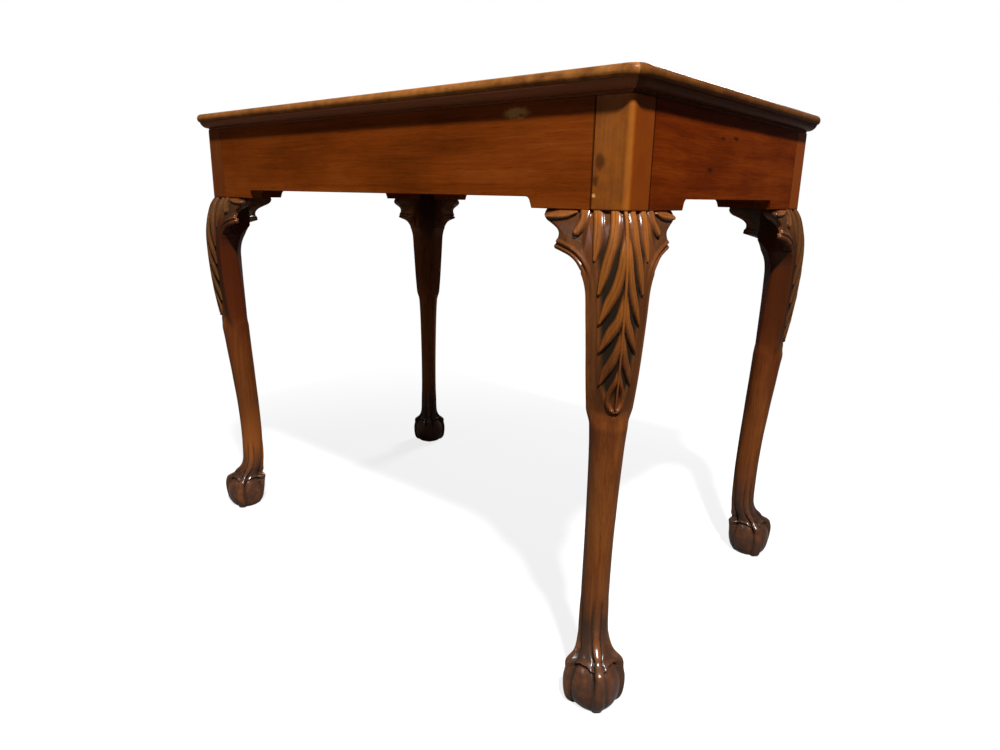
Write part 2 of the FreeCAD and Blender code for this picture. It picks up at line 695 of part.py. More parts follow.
def make_rim(side):
    """A length of moulding: ovolo below, rounded nose, hollow inside, mitred, with the corner rounded in plan."""
    angle, run, *_ = SIDES[side]
    nose_edge = "-(Sizes.rim_overhang - Sizes.nose_setback)"
    crease = "-(Sizes.rim_overhang - Sizes.nose_setback / 2)"
    crease_level = "Derived.rim_top - Sizes.nose_height"
    section = draw_outline(free_sketch(f"rim_section_{side}", 90), [
        ("0", "Derived.rim_bottom"),
        ("Sizes.board_inset", "Derived.rim_bottom"),
        ("Sizes.board_inset", "Derived.lap_bottom"),
        ("Derived.lap_inset", "Derived.lap_bottom"),
        ("Derived.lap_inset", "Derived.board_top"),
        (f"{nose_edge} + Sizes.rim_top_width", "Derived.rim_top"),
        (nose_edge, "Derived.rim_top"),
        (crease, crease_level),
        (f"{crease} + Sizes.crease_width", crease_level),
    ], {
        4: ("Sizes.hollow_radius", "in"),
        6: ("Sizes.nose_radius", "out"),
        8: ("Sizes.ovolo_radius", "out"),
    })
    half = f"(Sizes.{run} / 2 + Sizes.rim_overhang)"
    bar = extrude(f"rim_bar_{side}", section, half, half)
    straight = f"({half} - Sizes.rim_corner_radius)"
    mitre = f"({half} - Derived.mitre_cut)"
    inner = f"(Sizes.{run} / 2 - Derived.lap_inset)"
    outer_edge = "-Sizes.rim_overhang"
    mitre_edge = "-Sizes.rim_overhang + Derived.mitre_cut"
    plan = draw_outline(free_sketch(f"rim_plan_{side}"), [
        (f"-{straight}", outer_edge),
        (straight, outer_edge),
        (mitre, mitre_edge),
        (inner, "Derived.lap_inset"),
        (f"-{inner}", "Derived.lap_inset"),
        (f"-{mitre}", mitre_edge),
    ], {
        1: ("Sizes.rim_corner_radius", "out"),
        5: ("Sizes.rim_corner_radius", "out"),
    })
    blank = extrude(f"rim_plan_block_{side}", plan, "Derived.rim_top + Sizes.overrun")
    moulding = combine("Part::MultiCommon", f"rim_moulding_{side}", [bar, blank])
    rotation = FreeCAD.Rotation(UP, angle)
    node(placed_copy(f"rim_{side}", moulding, rotation, side_places(side)), f"rim_{side}")


def check_document():
    """Stop on any failed object or unsound shape before anything is written."""
    for item in doc.Objects:
        if "Invalid" in item.State or "Error" in item.State:
            raise RuntimeError(f"{item.Label} failed: {item.State}")
    for item in nodes:
        shape = Part.getShape(item)
        if shape.isNull() or not shape.isValid() or not shape.Solids:
            raise RuntimeError(f"{item.Label} has no sound solid")


sizes = fill_sheet("Sizes", SIZES, "")
fill_sheet("Derived", DERIVED, "=")
place_legs()
screw_void = make_screw_void()
place_rails(screw_void)
place_blocks()
make_board(screw_void)
for side_name in SIDES:
    make_rim(side_name)
screw_source = make_screw()
screws = [copy for side_name in SIDES for copy in place_screws("screw", screw_source, side_name)]
node(group("top_screws", screws), "top_screws")
doc.recompute()
check_document()
os.makedirs("parts", exist_ok=True)
for item in nodes:
    Part.getShape(item).exportStep(f"parts/{item.Label}.step")
    print(item.Label, len(Part.getShape(item).Solids), round(Part.getShape(item).Volume))
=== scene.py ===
# %% [markdown]
# # A tray top tea table
# A mahogany tea table with a moulded tray rim, plain rails, and four cabriole legs with carved knees,
# eared brackets and claw-and-ball feet. The CAD model is loaded first as a fixed frame, and every piece
# made here goes where the CAD says.

# %% Load the imported model
import math

import bpy
import numpy as np
from mathutils import Matrix, Vector


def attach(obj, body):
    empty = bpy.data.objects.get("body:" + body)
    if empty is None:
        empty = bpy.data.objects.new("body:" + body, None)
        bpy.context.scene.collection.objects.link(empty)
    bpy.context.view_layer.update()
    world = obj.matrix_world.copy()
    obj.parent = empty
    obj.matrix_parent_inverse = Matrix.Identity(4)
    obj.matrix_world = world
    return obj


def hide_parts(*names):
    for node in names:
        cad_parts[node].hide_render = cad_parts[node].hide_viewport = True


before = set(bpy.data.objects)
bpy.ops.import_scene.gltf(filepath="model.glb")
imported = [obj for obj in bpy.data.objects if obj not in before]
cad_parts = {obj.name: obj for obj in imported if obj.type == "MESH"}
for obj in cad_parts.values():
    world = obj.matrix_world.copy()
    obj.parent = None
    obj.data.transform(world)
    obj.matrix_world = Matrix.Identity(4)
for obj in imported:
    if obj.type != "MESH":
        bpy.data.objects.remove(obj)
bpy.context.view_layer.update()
scene = bpy.context.scene

# %% [markdown]
# ## Camera
# The photograph is taken from chest height, close to the corner of the table, with a wide lens. A camera's
# own axes are the columns of its matrix: right, up, and backwards. The lens comes from the focal length in
# pixels over the width of the picture.

# %% Camera
picture_width, focal_pixels, sensor_width = 1000, 678.75, 36
camera_place = Vector((0.7584, -0.85005, 0.58768))
camera_right = Vector((0.75785, 0.65217, 0.01856))
camera_up = Vector((-0.18184, 0.18382, 0.96599))
camera_back = Vector((0.62658, -0.73545, 0.2579))
camera = bpy.data.objects.new("camera", bpy.data.cameras.new("camera"))
camera.data.sensor_width = sensor_width
camera.data.lens = sensor_width * focal_pixels / picture_width
camera.matrix_world = (
    Matrix.Translation(camera_place) @ Matrix((camera_right, camera_up, camera_back)).transposed().to_4x4()
)
scene.collection.objects.link(camera)
scene.camera = camera
print("lens", round(camera.data.lens, 2), "mm")

# %% [markdown]
# ## Nodes as expressions
# Materials and shapes below are made of nodes. One small class wraps a socket, so that sums can be written
# as Python. One method adds any other node: the values or links of its sockets come first, then the output to
# go on from, then its settings.

# %% A socket that can be calculated with
class Wire:
    """A socket in a node tree; sums with it add Math nodes."""

    def __init__(self, tree, socket=None):
        self.tree, self.socket = tree, socket

    def node(self, kind, inputs=None, output=0, **settings):
        """Add a node and go on from one of its outputs."""
        item = self.tree.nodes.new(kind)
        for name, value in settings.items():
            setattr(item, name, value)
        for key, value in (inputs or {}).items():
            if isinstance(value, Wire):
                value.into(item, key)
            else:
                item.inputs[key].default_value = value
        return Wire(self.tree, item.outputs[output])

    def into(self, item, key):
        """Link this to a socket of a node."""
        self.tree.links.new(self.socket, item.inputs[key])

    def math(self, operation, *others):
        return self.node("ShaderNodeMath", dict(enumerate((self, *others))), operation=operation)

    def __add__(self, other):
        return self.math("ADD", other)

    def __sub__(self, other):
        return self.math("SUBTRACT", other)

    def __rsub__(self, other):
        return self.node("ShaderNodeMath", {0: other, 1: self}, operation="SUBTRACT")

    def __mul__(self, other):
        return self.math("MULTIPLY", other)

    def __truediv__(self, other):
        return self.math("DIVIDE", other)

    def __abs__(self):
        return self.math("ABSOLUTE")

    __radd__, __rmul__ = __add__, __mul__

    def between(self, low, high):
        """0 below low, 1 above high, and a smooth step from one to the other."""
        inputs = {"Value": self, "From Min": low, "From Max": high}
        return self.node("ShaderNodeMapRange", inputs, interpolation_type="SMOOTHSTEP")

    def mix(self, first, second):
        """The first colour where this is 0, the second where it is 1."""
        return self.node("ShaderNodeMix", {0: self, 6: first, 7: second}, 2, data_type="RGBA")

    def tint(self, share, colour):
        """This colour mixed with another by a share."""
        return share.mix(self, colour)

    def ramp(self, *stops):
        """A colour for this value; each stop is a value and the colour there."""
        picked = self.node("ShaderNodeValToRGB", {"Fac": self})
        elements = picked.socket.node.color_ramp.elements
        while len(elements) < len(stops):
            elements.new(1)
        for element, (place, colour) in zip(elements, stops):
            element.position, element.color = place, colour
        return picked

    def vector(self, operation, *others, output=0):
        return self.node("ShaderNodeVectorMath", dict(enumerate((self, *others))), output, operation=operation)

    def noise(self, scale, detail=3.0, rough=0.5, output=0):
        """Noise from 0 to 1 read at this place."""
        inputs = {"Vector": self, "Scale": scale, "Detail": detail, "Roughness": rough}
        return self.node("ShaderNodeTexNoise", inputs, output)


def linear(red, green, blue):
    """A colour as it shows on screen, in the linear values that a shader takes."""
    shares = [value / 255 for value in (red, green, blue)]
    return (*[v / 12.92 if v <= 0.04045 else ((v + 0.055) / 1.055) ** 2.4 for v in shares], 1)


def new_finish(name):
    """A new material, and a wire to start its nodes from."""
    finish = bpy.data.materials.new(name)
    finish.use_nodes = True
    return finish, Wire(finish.node_tree)


print("one class for sums; white is", linear(255, 255, 255))

# %% [markdown]
# ## Light and floor
# A lamp above and behind the viewer throws the rim's shadow on both rails and leaves the inside dark. A weak
# window on the left adds small glints, and a lamp behind the table lights its back. The floor is plain and pale.
# For the eye, most of its colour is even white, and the rest is lit, so that the shadow of the table stays. What
# the polish mirrors is a dim room, with a little of the white far behind the table.

# %% World, lamp and floor
scene.view_settings.view_transform = "Standard"
white = (1, 1, 1, 1)
room_grey, dim_room = (0.07, 0.07, 0.075, 1), (0.09, 0.08, 0.07, 1)
floor_dim, floor_pale = (0.13, 0.12, 0.11, 1), (0.95, 0.95, 0.95, 1)
backdrop_way = Vector((-camera_back.x, -camera_back.y, 0)).normalized()


def seen_directly(wire):
    """1 for rays of the camera, of reflections and through glass."""
    eye, mirror, glass = (
        wire.node("ShaderNodeLightPath", output=f"Is {kind} Ray") for kind in ("Camera", "Glossy", "Transmission")
    )
    return eye.math("MAXIMUM", mirror).math("MAXIMUM", glass)


def backdrop(way):
    """How much white a reflection finds the way it looks: a little, straight behind the table."""
    return way.vector("DOT_PRODUCT", backdrop_way, output="Value").between(0.62, 0.72) * 0.3


scene.world = bpy.data.worlds.new("studio")
scene.world.use_nodes = True
sky = Wire(scene.world.node_tree)
dimmed = 1 - backdrop(sky.node("ShaderNodeTexCoord", output="Generated"))
sky_colour = seen_directly(sky).mix(room_grey, white)
sky_colour = sky_colour.tint(sky.node("ShaderNodeLightPath", output="Is Glossy Ray") * dimmed, dim_room)
sky_colour.into(scene.world.node_tree.nodes["Background"], "Color")


def add_lamp(name, watts, place, target, width, height):
    """An area lamp that looks at a target."""
    light = bpy.data.objects.new(name, bpy.data.lights.new(name, "AREA"))
    light.data.shape = "RECTANGLE"
    light.data.size, light.data.size_y = width, height
    light.data.energy = watts
    light.location = place
    light.rotation_euler = (light.location - Vector(target)).to_track_quat("Z", "Y").to_euler()
    scene.collection.objects.link(light)
    return light


lamps = [
    add_lamp("lamp", 265, (1.7, -1.4, 3.13), (0.1, -0.05, 0.5), 0.2, 0.2),
    add_lamp("window", 4.5, (-0.75, -2.1, 1.4), (0.3, -0.25, 0.35), 0.35, 0.5),
    add_lamp("back_lamp", 45, (-0.5, 2.3, 1.6), (0, 0.2, 0.4), 0.6, 0.6),
]

floor_half = 15
floor_mesh = bpy.data.meshes.new("floor")
floor_mesh.from_pydata(
    [(x * floor_half, y * floor_half, 0) for x, y in ((-1, -1), (1, -1), (1, 1), (-1, 1))], [], [(0, 1, 2, 3)]
)
floor_paint, paint = new_finish("floor_paint")
spread = paint.node("ShaderNodeTexCoord", output="Object")
distance = spread.vector("LENGTH", output="Value")
dimmed = 1 - distance.between(2.5, 4.0) * backdrop(spread.vector("NORMALIZE"))
direct = seen_directly(paint) * (1 - paint.node("ShaderNodeLightPath", output="Is Glossy Ray") * dimmed)
lit = paint.node("ShaderNodeBsdfDiffuse", {"Color": direct.mix(floor_dim, floor_pale)})
even = paint.node("ShaderNodeEmission", {"Color": white, "Strength": 1.0})
even_share = direct * (0.80 + distance.between(0.5, 1.3) * 0.20)
floor_look = paint.node("ShaderNodeMixShader", {0: even_share, 1: lit, 2: even})
floor_look.into(floor_paint.node_tree.nodes["Material Output"], "Surface")
floor_mesh.materials.append(floor_paint)
floor = bpy.data.objects.new("floor", floor_mesh)
scene.collection.objects.link(floor)
print("lamps", {light.name: light.data.energy for light in lamps})

# %% [markdown]
# ## Mahogany
# Old waxed mahogany has broad bands of darker and lighter figure, fine streaks and short dark pores, and patches
# where polish and dirt have gathered. Each is a noise read through coordinates that are squeezed along the grain,
# so that it is drawn out that way. Marks of a piece's own come on top. Carved pieces carry two values on their
# points: one darkens the hollows with dirt and painted shade, and one lightens the proud parts with wear and a
# painted highlight. The polish left on some pieces is a clear coat.

# %% Wood finish
MM = 0.001


def wood_finish(name, grain, tones, gloss=0.34, shine=0.02, carved=False, marks=None, polish=None):
    """A waxed wood with its grain along one axis; tones are its dark, middle and light colours."""
    finish, start = new_finish(name)
    shader = finish.node_tree.nodes["Principled BSDF"]

    def squeezed(where, share):
        return where.vector("MULTIPLY", tuple(share if axis == grain else 1.0 for axis in "XYZ"))

    place = start.node("ShaderNodeTexCoord", output="Object")
    sway = (place.noise(4.0, 2.0) - 0.5) * 0.014
    bent = place.vector("ADD", sway.node("ShaderNodeCombineXYZ", {axis: sway for axis in "XYZ" if axis != grain}))
    along, drawn = squeezed(bent, 0.028), squeezed(place, 0.4)
    figure = along.noise(58.0, 4.0, 0.6)
    streak = along.noise(300.0, 4.0, 0.65)
    fibre = along.noise(900.0, 2.0)
    pores = along.noise(1900.0, 1.0).between(0.60, 0.72)
    patch = drawn.noise(15.0, 4.0, 0.6)
    broad = drawn.noise(4.1, 2.0)
    mixed = figure * 0.20 + streak * 0.14 + fibre * 0.10 + patch * 0.30 + broad * 0.26
    dark, middle, light = (linear(*tone) for tone in tones)
    colour = mixed.ramp((0.39, dark), (0.50, middle), (0.62, light))
    colour = colour.tint(pores * 0.4, (*(0.25 * v for v in dark[:3]), 1))
    rough = gloss + streak * 0.08 + patch * 0.08
    height = streak * 0.3 - pores * 0.5
    if marks:
        colour, rough = marks(place, colour, rough)
    if carved:
        hollow, wear_and_highlight = (
            start.node("ShaderNodeAttribute", output="Fac", attribute_name=name) for name in ("hollow", "wear_and_highlight")
        )
        # wear and a painted highlight: the proud parts are lightened golden
        colour = colour.tint(wear_and_highlight * (streak * 0.6 + patch * 0.4), linear(154, 90, 28))
        # dirt and painted shade: the hollows, pockets and creases are darkened
        colour = colour.tint(hollow * (0.75 + patch * 0.4), linear(28, 24, 16))
        rough = rough + hollow * 0.5
    bump = height.node("ShaderNodeBump", {"Strength": 0.25, "Distance": 0.0004, "Height": height})
    colour.into(shader, "Base Color")
    rough.into(shader, "Roughness")
    bump.into(shader, "Normal")
    shader.inputs["Specular IOR Level"].default_value = shine
    if polish:
        (polish(place) * (1 - hollow.between(0.3, 0.8) * 0.8)).into(shader, "Coat Weight")
        shader.inputs["Coat Roughness"].default_value = 0.22
        shader.inputs["Coat IOR"].default_value = 1.4
    return finish


def parted(place):
    """The three coordinates of a place."""
    return [place.node("ShaderNodeSeparateXYZ", {0: place}, axis) for axis in "XYZ"]


def spotted(place, colour, spots):
    """A colour with worn spots that have torn edges: the centre and size of each, its strength and its tone."""
    shake = place.noise(220.0, output="Color").vector("SUBTRACT", (0.5, 0.5, 0.5))
    torn = place.vector("ADD", shake.vector("MULTIPLY", (6 * MM, 6 * MM, 6 * MM)))
    for centre, size, strength, tone in spots:
        away = torn.vector("SUBTRACT", tuple(v * MM for v in centre)).vector("DIVIDE", tuple(v * MM for v in size))
        share = 1 - away.vector("LENGTH", output="Value").between(0.35, 1.0)
        colour = colour.tint(share * strength, linear(*tone))
    return colour


print("wood tones from", [round(v, 3) for v in linear(98, 45, 17)[:3]])

# %% [markdown]
# ## Shared mesh helpers
# Sizes are in millimetres, as a maker thinks of them, and become metres when a mesh is made. Most pieces
# here are skins over a stack of rings. The volume of a closed skin comes out negative if its faces look inwards,
# so that is measured, and the faces are turned where needed.

# %% Mesh helpers
def facing_out(points, faces):
    """The faces of a closed skin, turned round if they look inwards, and the volume that they hold."""
    fan = np.array([(face[0], face[i], face[i + 1]) for face in faces for i in range(1, len(face) - 1)])
    first, second, third = points[fan].transpose(1, 0, 2)
    volume = np.einsum("ij,ij->i", first, np.cross(second, third)).sum() / 6
    return faces if volume > 0 else [face[::-1] for face in faces], abs(volume)


def skin(rings):
    """Points and faces of a closed skin over a stack of rings, with one face over each end."""
    count, around = rings.shape[:2]
    here = np.arange(around)
    after = np.roll(here, -1)
    low = (np.arange(count - 1) * around)[:, None]
    quads = np.stack([low + here, low + after, low + around + after, low + around + here], axis=2).reshape(-1, 4)
    points = rings.reshape(-1, 3)
    top = (count - 1) * around
    faces = [*quads.tolist(), here[::-1].tolist(), (top + here).tolist()]
    return points, facing_out(points, faces)[0]


def add_piece(name, points, faces, finish, nodes, crisp, values=None):
    """A mesh piece that stands for CAD nodes; values are numbers carried on its points."""
    mesh = bpy.data.meshes.new(name)
    mesh.from_pydata((np.asarray(points) * MM).tolist(), [], faces)
    for label, numbers in (values or {}).items():
        layer = mesh.attributes.new(label, "FLOAT", "POINT")
        layer.data.foreach_set("value", np.asarray(numbers, dtype=np.float32))
    mesh.materials.append(finish)
    mesh.shade_smooth()
    mesh.set_sharp_from_angle(angle=math.radians(crisp))
    mesh.update()
    piece = bpy.data.objects.new(name, mesh)
    scene.collection.objects.link(piece)
    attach(piece, "root")
    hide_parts(*nodes)
    return piece


def turned(points, angle, shift):
    """Points turned about the upright axis and moved."""
    turn = math.radians(angle)
    x, y, z = points[..., 0], points[..., 1], points[..., 2]
    return np.stack([
        x * math.cos(turn) - y * math.sin(turn) + shift[0],
        x * math.sin(turn) + y * math.cos(turn) + shift[1],
        z,
    ], axis=-1)


def smooth(low, high, value):
    """A smooth step from 0 at low to 1 at high."""
    share = np.clip((np.asarray(value, dtype=float) - low) / (high - low), 0, 1)
    return share * share * (3 - 2 * share)


def through(pairs):
    """A smooth curve through pairs of place and value."""
    places, values = (np.array(column, dtype=float) for column in zip(*sorted(pairs)))
    slopes = np.gradient(values, places)

    def curve(place):
        place = np.clip(np.asarray(place, dtype=float), places[0], places[-1])
        index = np.clip(np.searchsorted(places, place) - 1, 0, len(places) - 2)
        gap = places[index + 1] - places[index]
        t = (place - places[index]) / gap
        return (
            (1 + 2 * t) * (1 - t) ** 2 * values[index] + t * (1 - t) ** 2 * gap * slopes[index]
            + t * t * (3 - 2 * t) * values[index + 1] + t * t * (t - 1) * gap * slopes[index + 1]
        )

    return curve


print("curve check", float(through([(0, 0), (1, 2), (2, 4)])(1.5)))

# %% [markdown]
# ## Rails
# Each rail is a plain board with its grain along it. Its lower edge drops near both ends, to meet the
# brackets, by a small curved ramp. The board is an outline with thickness, and its edges are eased a little,
# as a plane leaves them. An old worn patch sits at the top of the front rail, and small dents on the right.

# %% Rail boards
frame_length, frame_depth = 818, 508
frame_top, underside = 682, 573.5
post_size, rail_thickness, rail_rise = 42, 22, 12
drop_length, ramp_radius, ramp_angle = 119, 6.5, math.radians(70)
SIDES = {"front": 0, "right": 90, "back": 180, "left": 270}


def side_frame(side):
    """A side's length, its turn and the place of its outer face's middle."""
    run, across = (frame_length, frame_depth) if side in ("front", "back") else (frame_depth, frame_length)
    turn = math.radians(SIDES[side])
    return run, SIDES[side], (across / 2 * math.sin(turn), -across / 2 * math.cos(turn))


def around(on_long, on_short):
    """One thing for the two long sides and another for the two ends."""
    return {"front": on_long, "right": on_short, "back": on_long, "left": on_short}


def rail_outline(run):
    """The rail's outline seen from outside, anticlockwise from its lower left corner."""
    end = run / 2 - post_size
    fall = ramp_radius * (1 - math.cos(ramp_angle))
    lean = run / 2 - drop_length - (rail_rise - fall) / math.tan(ramp_angle)
    middle = underside + rail_rise
    angles = np.linspace(ramp_angle, 0, 7)
    bends = lean - ramp_radius * (math.sin(ramp_angle) - np.sin(angles))
    rises = middle - ramp_radius * (1 - np.cos(angles))
    half = [(end, underside), (run / 2 - drop_length, underside), *zip(bends, rises)]
    return np.array([(-x, z) for x, z in half] + half[::-1] + [(end, frame_top), (-end, frame_top)])


def shrunk(outline, step):
    """An outline moved inwards by a step."""
    before, after = np.roll(outline, 1, axis=0), np.roll(outline, -1, axis=0)
    ways = [(way / np.linalg.norm(way, axis=1)[:, None]) for way in (outline - before, after - outline)]
    inward = [np.stack([-way[:, 1], way[:, 0]], axis=1) for way in ways]
    lean = inward[0] + inward[1]
    return outline + step * lean / (1 + np.einsum("ij,ij->i", *inward))[:, None]


def rail_board(run, ease=0.7):
    """Rings of the board from its outer face to its inner face, with eased edges."""
    full = rail_outline(run)
    steps = [(0, shrunk(full, ease)), (ease * 0.3, shrunk(full, ease * 0.3)), (ease, full),
             (rail_thickness - ease, full), (rail_thickness, shrunk(full, ease))]
    return np.stack([np.insert(ring, 1, depth, axis=1) for depth, ring in steps])


def rail_marks(axis, spots):
    """Marks of a rail that runs along an axis: dirt in its joints, and old damage."""
    end = ((frame_length, frame_depth)[axis] / 2 - post_size) * MM

    def marks(place, colour, rough):
        joint = abs(parted(place)[axis]).between(end - 2.8 * MM, end - 0.6 * MM)
        return spotted(place, colour.tint(joint * 0.85, linear(22, 10, 5)), spots), rough

    return marks


WORN_PATCH = [
    # centre and size in millimetres, strength, tone
    ((266, -254, 671.5), (23, 20, 7.5), 0.75, (158, 116, 64)),
    ((273, -254, 669), (4, 20, 2.5), 0.7, (70, 42, 20)),
]
DENTS = [
    ((409, -74, 618.6), (20, 9, 4), 0.8, (36, 12, 4)),
    ((409, -8, 657), (20, 12, 3), 0.8, (36, 12, 4)),
    ((409, -46, 654.5), (20, 8, 3), 0.8, (36, 12, 4)),
]
rail_tones = (72, 29, 3), (101, 44, 7), (119, 60, 18)
end_tones = (50, 15, 2), (84, 29, 3), (115, 49, 7)
rail_finishes = around(
    wood_finish("rail_mahogany_long", "X", rail_tones, 0.36, marks=rail_marks(0, WORN_PATCH)),
    wood_finish("rail_mahogany_short", "Y", end_tones, 0.36, marks=rail_marks(1, DENTS)),
)
for side in SIDES:
    run, turn, shift = side_frame(side)
    points, faces = skin(turned(rail_board(run), turn, shift))
    add_piece(f"rail_board_{side}", points, faces, rail_finishes[side], [f"rail_{side}"], 15)
    print("rail", side, len(points), "points")

# %% [markdown]
# ## Tray rim
# The rim is one moulding in four lengths, mitred at the corners: a rounded nose, a crease, and an ovolo below
# that shades the rail, with a hollow on the inside. A moulding follows a path, so Geometry Nodes carry its
# section along one side. The object starts as the section, with a tongue below that sits in the board's groove.
# The tree bends the path round half of each corner, sweeps the section along it, and then holds every point
# inside the straight line that its own distance from the rail would draw, so that the inner parts meet in a
# sharp mitre while the nose goes round.

# %% Section of the moulding
rim_top, rim_bottom, tray_floor = 706, 685, 698
rim_overhang, corner_radius = 16, 20


def bend(start, end, radius, outside, steps):
    """Points of an arc between two points, bulging to the left of the way when outside is 1, not the ends."""
    start, end = np.array(start, float), np.array(end, float)
    half = (end - start) / 2
    reach = math.sqrt(radius ** 2 - half @ half)
    normal = np.array([-half[1], half[0]]) / np.linalg.norm(half)
    centre = start + half - normal * reach * outside
    first, last = (math.atan2(*(point - centre)[::-1]) for point in (start, end))
    sweep = (last - first + math.pi) % (2 * math.pi) - math.pi
    angles = first + sweep * np.linspace(0, 1, steps + 2)[1:-1]
    return [tuple(centre + radius * np.array([math.cos(a), math.sin(a)])) for a in angles]


nose_top, nose_foot, crease = (11.0, rim_top), (13.5, rim_top - 11.5), (12.0, rim_top - 11.5)
lap, tray_edge, hollow_top, ovolo_foot = 694, (-15.0, tray_floor), (5.0, rim_top), (0.0, rim_bottom)
section = [
    ovolo_foot, (-1.2, rim_bottom), (-1.5, frame_top + 0.4), (-5.0, frame_top + 0.4), (-5.3, rim_bottom),
    (-6.0, rim_bottom), (-6.0, lap), (-15.0, lap), tray_edge,
    *bend(tray_edge, hollow_top, 19, -1, 8), hollow_top, (8.0, rim_top), nose_top,
    *bend(nose_top, nose_foot, 7, 1, 12), nose_foot, crease,
    *bend(crease, ovolo_foot, 12, 1, 10),
]
print("section", len(section), "points, reach", round(max(x for x, _ in section), 2))

# %% The tree that carries it round a side
rim_tree = bpy.data.node_groups.new("carry_moulding", "GeometryNodeTree")


def rim_socket(label, kind, way="INPUT"):
    """A socket on the outside of the tree."""
    return rim_tree.interface.new_socket(label, in_out=way, socket_type=f"NodeSocket{kind}")


rim_socket("Section", "Geometry")
rim_inputs = {label: rim_socket(label, "Float") for label in ("Half length", "Overhang", "Corner radius")}
rim_inputs["Finish"] = rim_socket("Finish", "Material")
rim_socket("Moulding", "Geometry", "OUTPUT")
half_corner = 7
group_in = rim_tree.nodes.new("NodeGroupInput")
given = {socket.name: Wire(rim_tree, socket) for socket in group_in.outputs if socket.name}
half_length, overhang, radius = (given[label] for label in ("Half length", "Overhang", "Corner radius"))
make = Wire(rim_tree)


def moved(geometry, x, y, z=0.0):
    """Geometry with its points at new places."""
    place = geometry.node("ShaderNodeCombineXYZ", {"X": x, "Y": y, "Z": z})
    return geometry.node("GeometryNodeSetPosition", {"Geometry": geometry, "Position": place})


def store(geometry, label, value):
    """Geometry with a number stored on its points."""
    inputs = {"Geometry": geometry, "Name": label, "Value": value}
    return geometry.node("GeometryNodeStoreNamedAttribute", inputs, data_type="FLOAT")


def stored(label):
    """A number stored on the points, read back."""
    return make.node("GeometryNodeInputNamedAttribute", {"Name": label}, data_type="FLOAT")


index = make.node("GeometryNodeInputIndex")
early = index.math("MINIMUM", half_corner) / half_corner
late = (index - (half_corner + 1)).math("MAXIMUM", 0) / half_corner
angle = (early - 1 + late) * math.radians(45)
edge = overhang - radius
side_sign = index.math("GREATER_THAN", half_corner + 0.5) * 2 - 1
across = side_sign * (half_length + edge) + radius * angle.math("SINE")
outward = (edge + radius * angle.math("COSINE")) * -1
path = make.node("GeometryNodeCurvePrimitiveLine", {"Start": (-1, 0, 0), "End": (1, 0, 0)})
path = path.node("GeometryNodeResampleCurve", {"Curve": path, "Count": 2 * half_corner + 2})
ends = make.node("GeometryNodeCurveEndpointSelection", {"Start Size": 1, "End Size": 1})
path = store(moved(path, across, outward), "end", ends)

x, y, _ = parted(make.node("GeometryNodeInputPosition"))
shape = make.node("GeometryNodeMeshToCurve", {"Mesh": given["Section"]})
shape = store(store(shape, "reach", x), "level", y)
shape = moved(shape, x - overhang, 0.0 - y)
bar = make.node("GeometryNodeCurveToMesh", {"Curve": path, "Profile Curve": shape, "Fill Caps": True})

held_y = y.math("MAXIMUM", 0.0 - stored("reach"))
along = abs(x).math("MINIMUM", half_length + stored("reach"))
along = along + stored("end") * (half_length - held_y - along)
bar = moved(bar, along * x.math("SIGN"), held_y, stored("level"))
bar = bar.node("GeometryNodeMergeByDistance", {"Geometry": bar, "Distance": 0.02 * MM})
bar = bar.node("GeometryNodeSetMaterial", {"Geometry": bar, "Material": given["Finish"]})
bar.into(rim_tree.nodes.new("NodeGroupOutput"), "Moulding")
print("moulding tree", len(rim_tree.nodes), "nodes")

# %% Four lengths of rim
def rim_marks(gold, painted_shade):
    """Marks of a length of rim: a nose rubbed golden, duller to the right, and painted shade below the crease."""
    def marks(place, colour, rough):
        x, _, z = parted(place)
        under = 1 - z.between(0.6935, 0.6950)
        rubbed = place.noise(60.0, 4.0, 0.6).between(0.34, 0.74) * (1 - under) * 0.5
        dulled = place.noise(48.0, 4.0, 0.6).between(0.42, 0.60) * (1 - under) * x.between(0.08, 0.36)
        specks = place.noise(420.0, 2.0).between(0.66, 0.74)
        colour = colour.tint(rubbed * gold, linear(186, 124, 56))
        colour = colour.tint(dulled * gold * 1.2, linear(72, 40, 17))
        # painted shade: the ovolo below the crease is darkened
        colour = colour.tint(under * 0.8, painted_shade)
        return colour.tint(specks * 0.5, linear(50, 26, 12)), rough - under * 0.08
    return marks


rim_tones = (78, 44, 18), (118, 70, 30), (148, 93, 42)
rim_end_tones = (50, 25, 9), (84, 46, 17), (116, 70, 28)
# the last colour of each length is the painted shade below the crease
rim_finishes = around(
    wood_finish("rim_mahogany_long", "X", rim_tones, 0.24, 0.06, marks=rim_marks(0.5, linear(118, 68, 45))),
    wood_finish("rim_mahogany_short", "Y", rim_end_tones, 0.24, 0.04, marks=rim_marks(0.2, linear(66, 33, 18))),
)
for side in SIDES:
    run, turn, shift = side_frame(side)
    drawing = bpy.data.meshes.new("rim_section")
    drawing.from_pydata(
        [(reach * MM, level * MM, 0) for reach, level in section],
        [(i, (i + 1) % len(section)) for i in range(len(section))], [],
    )
    carrier = bpy.data.objects.new("rim_carrier", drawing)
    scene.collection.objects.link(carrier)
    carry = carrier.modifiers.new("carry", "NODES")
    carry.node_group = rim_tree
    for label, value in (("Half length", run / 2 * MM), ("Overhang", rim_overhang * MM),
                         ("Corner radius", corner_radius * MM), ("Finish", rim_finishes[side])):
        carry[rim_inputs[label].identifier] = value
    mesh = bpy.data.meshes.new_from_object(carrier.evaluated_get(bpy.context.evaluated_depsgraph_get()))
    bpy.data.objects.remove(carrier)
    points = turned(np.array([point.co for point in mesh.vertices]) / MM, turn, shift)
    faces, volume = facing_out(points, [tuple(face.vertices) for face in mesh.polygons])
    add_piece(f"rim_moulding_{side}", points, faces, rim_finishes[side], [f"rim_{side}"], 35)
    print("rim", side, len(points), "points", round(volume / 1000, 1), "cubic cm")

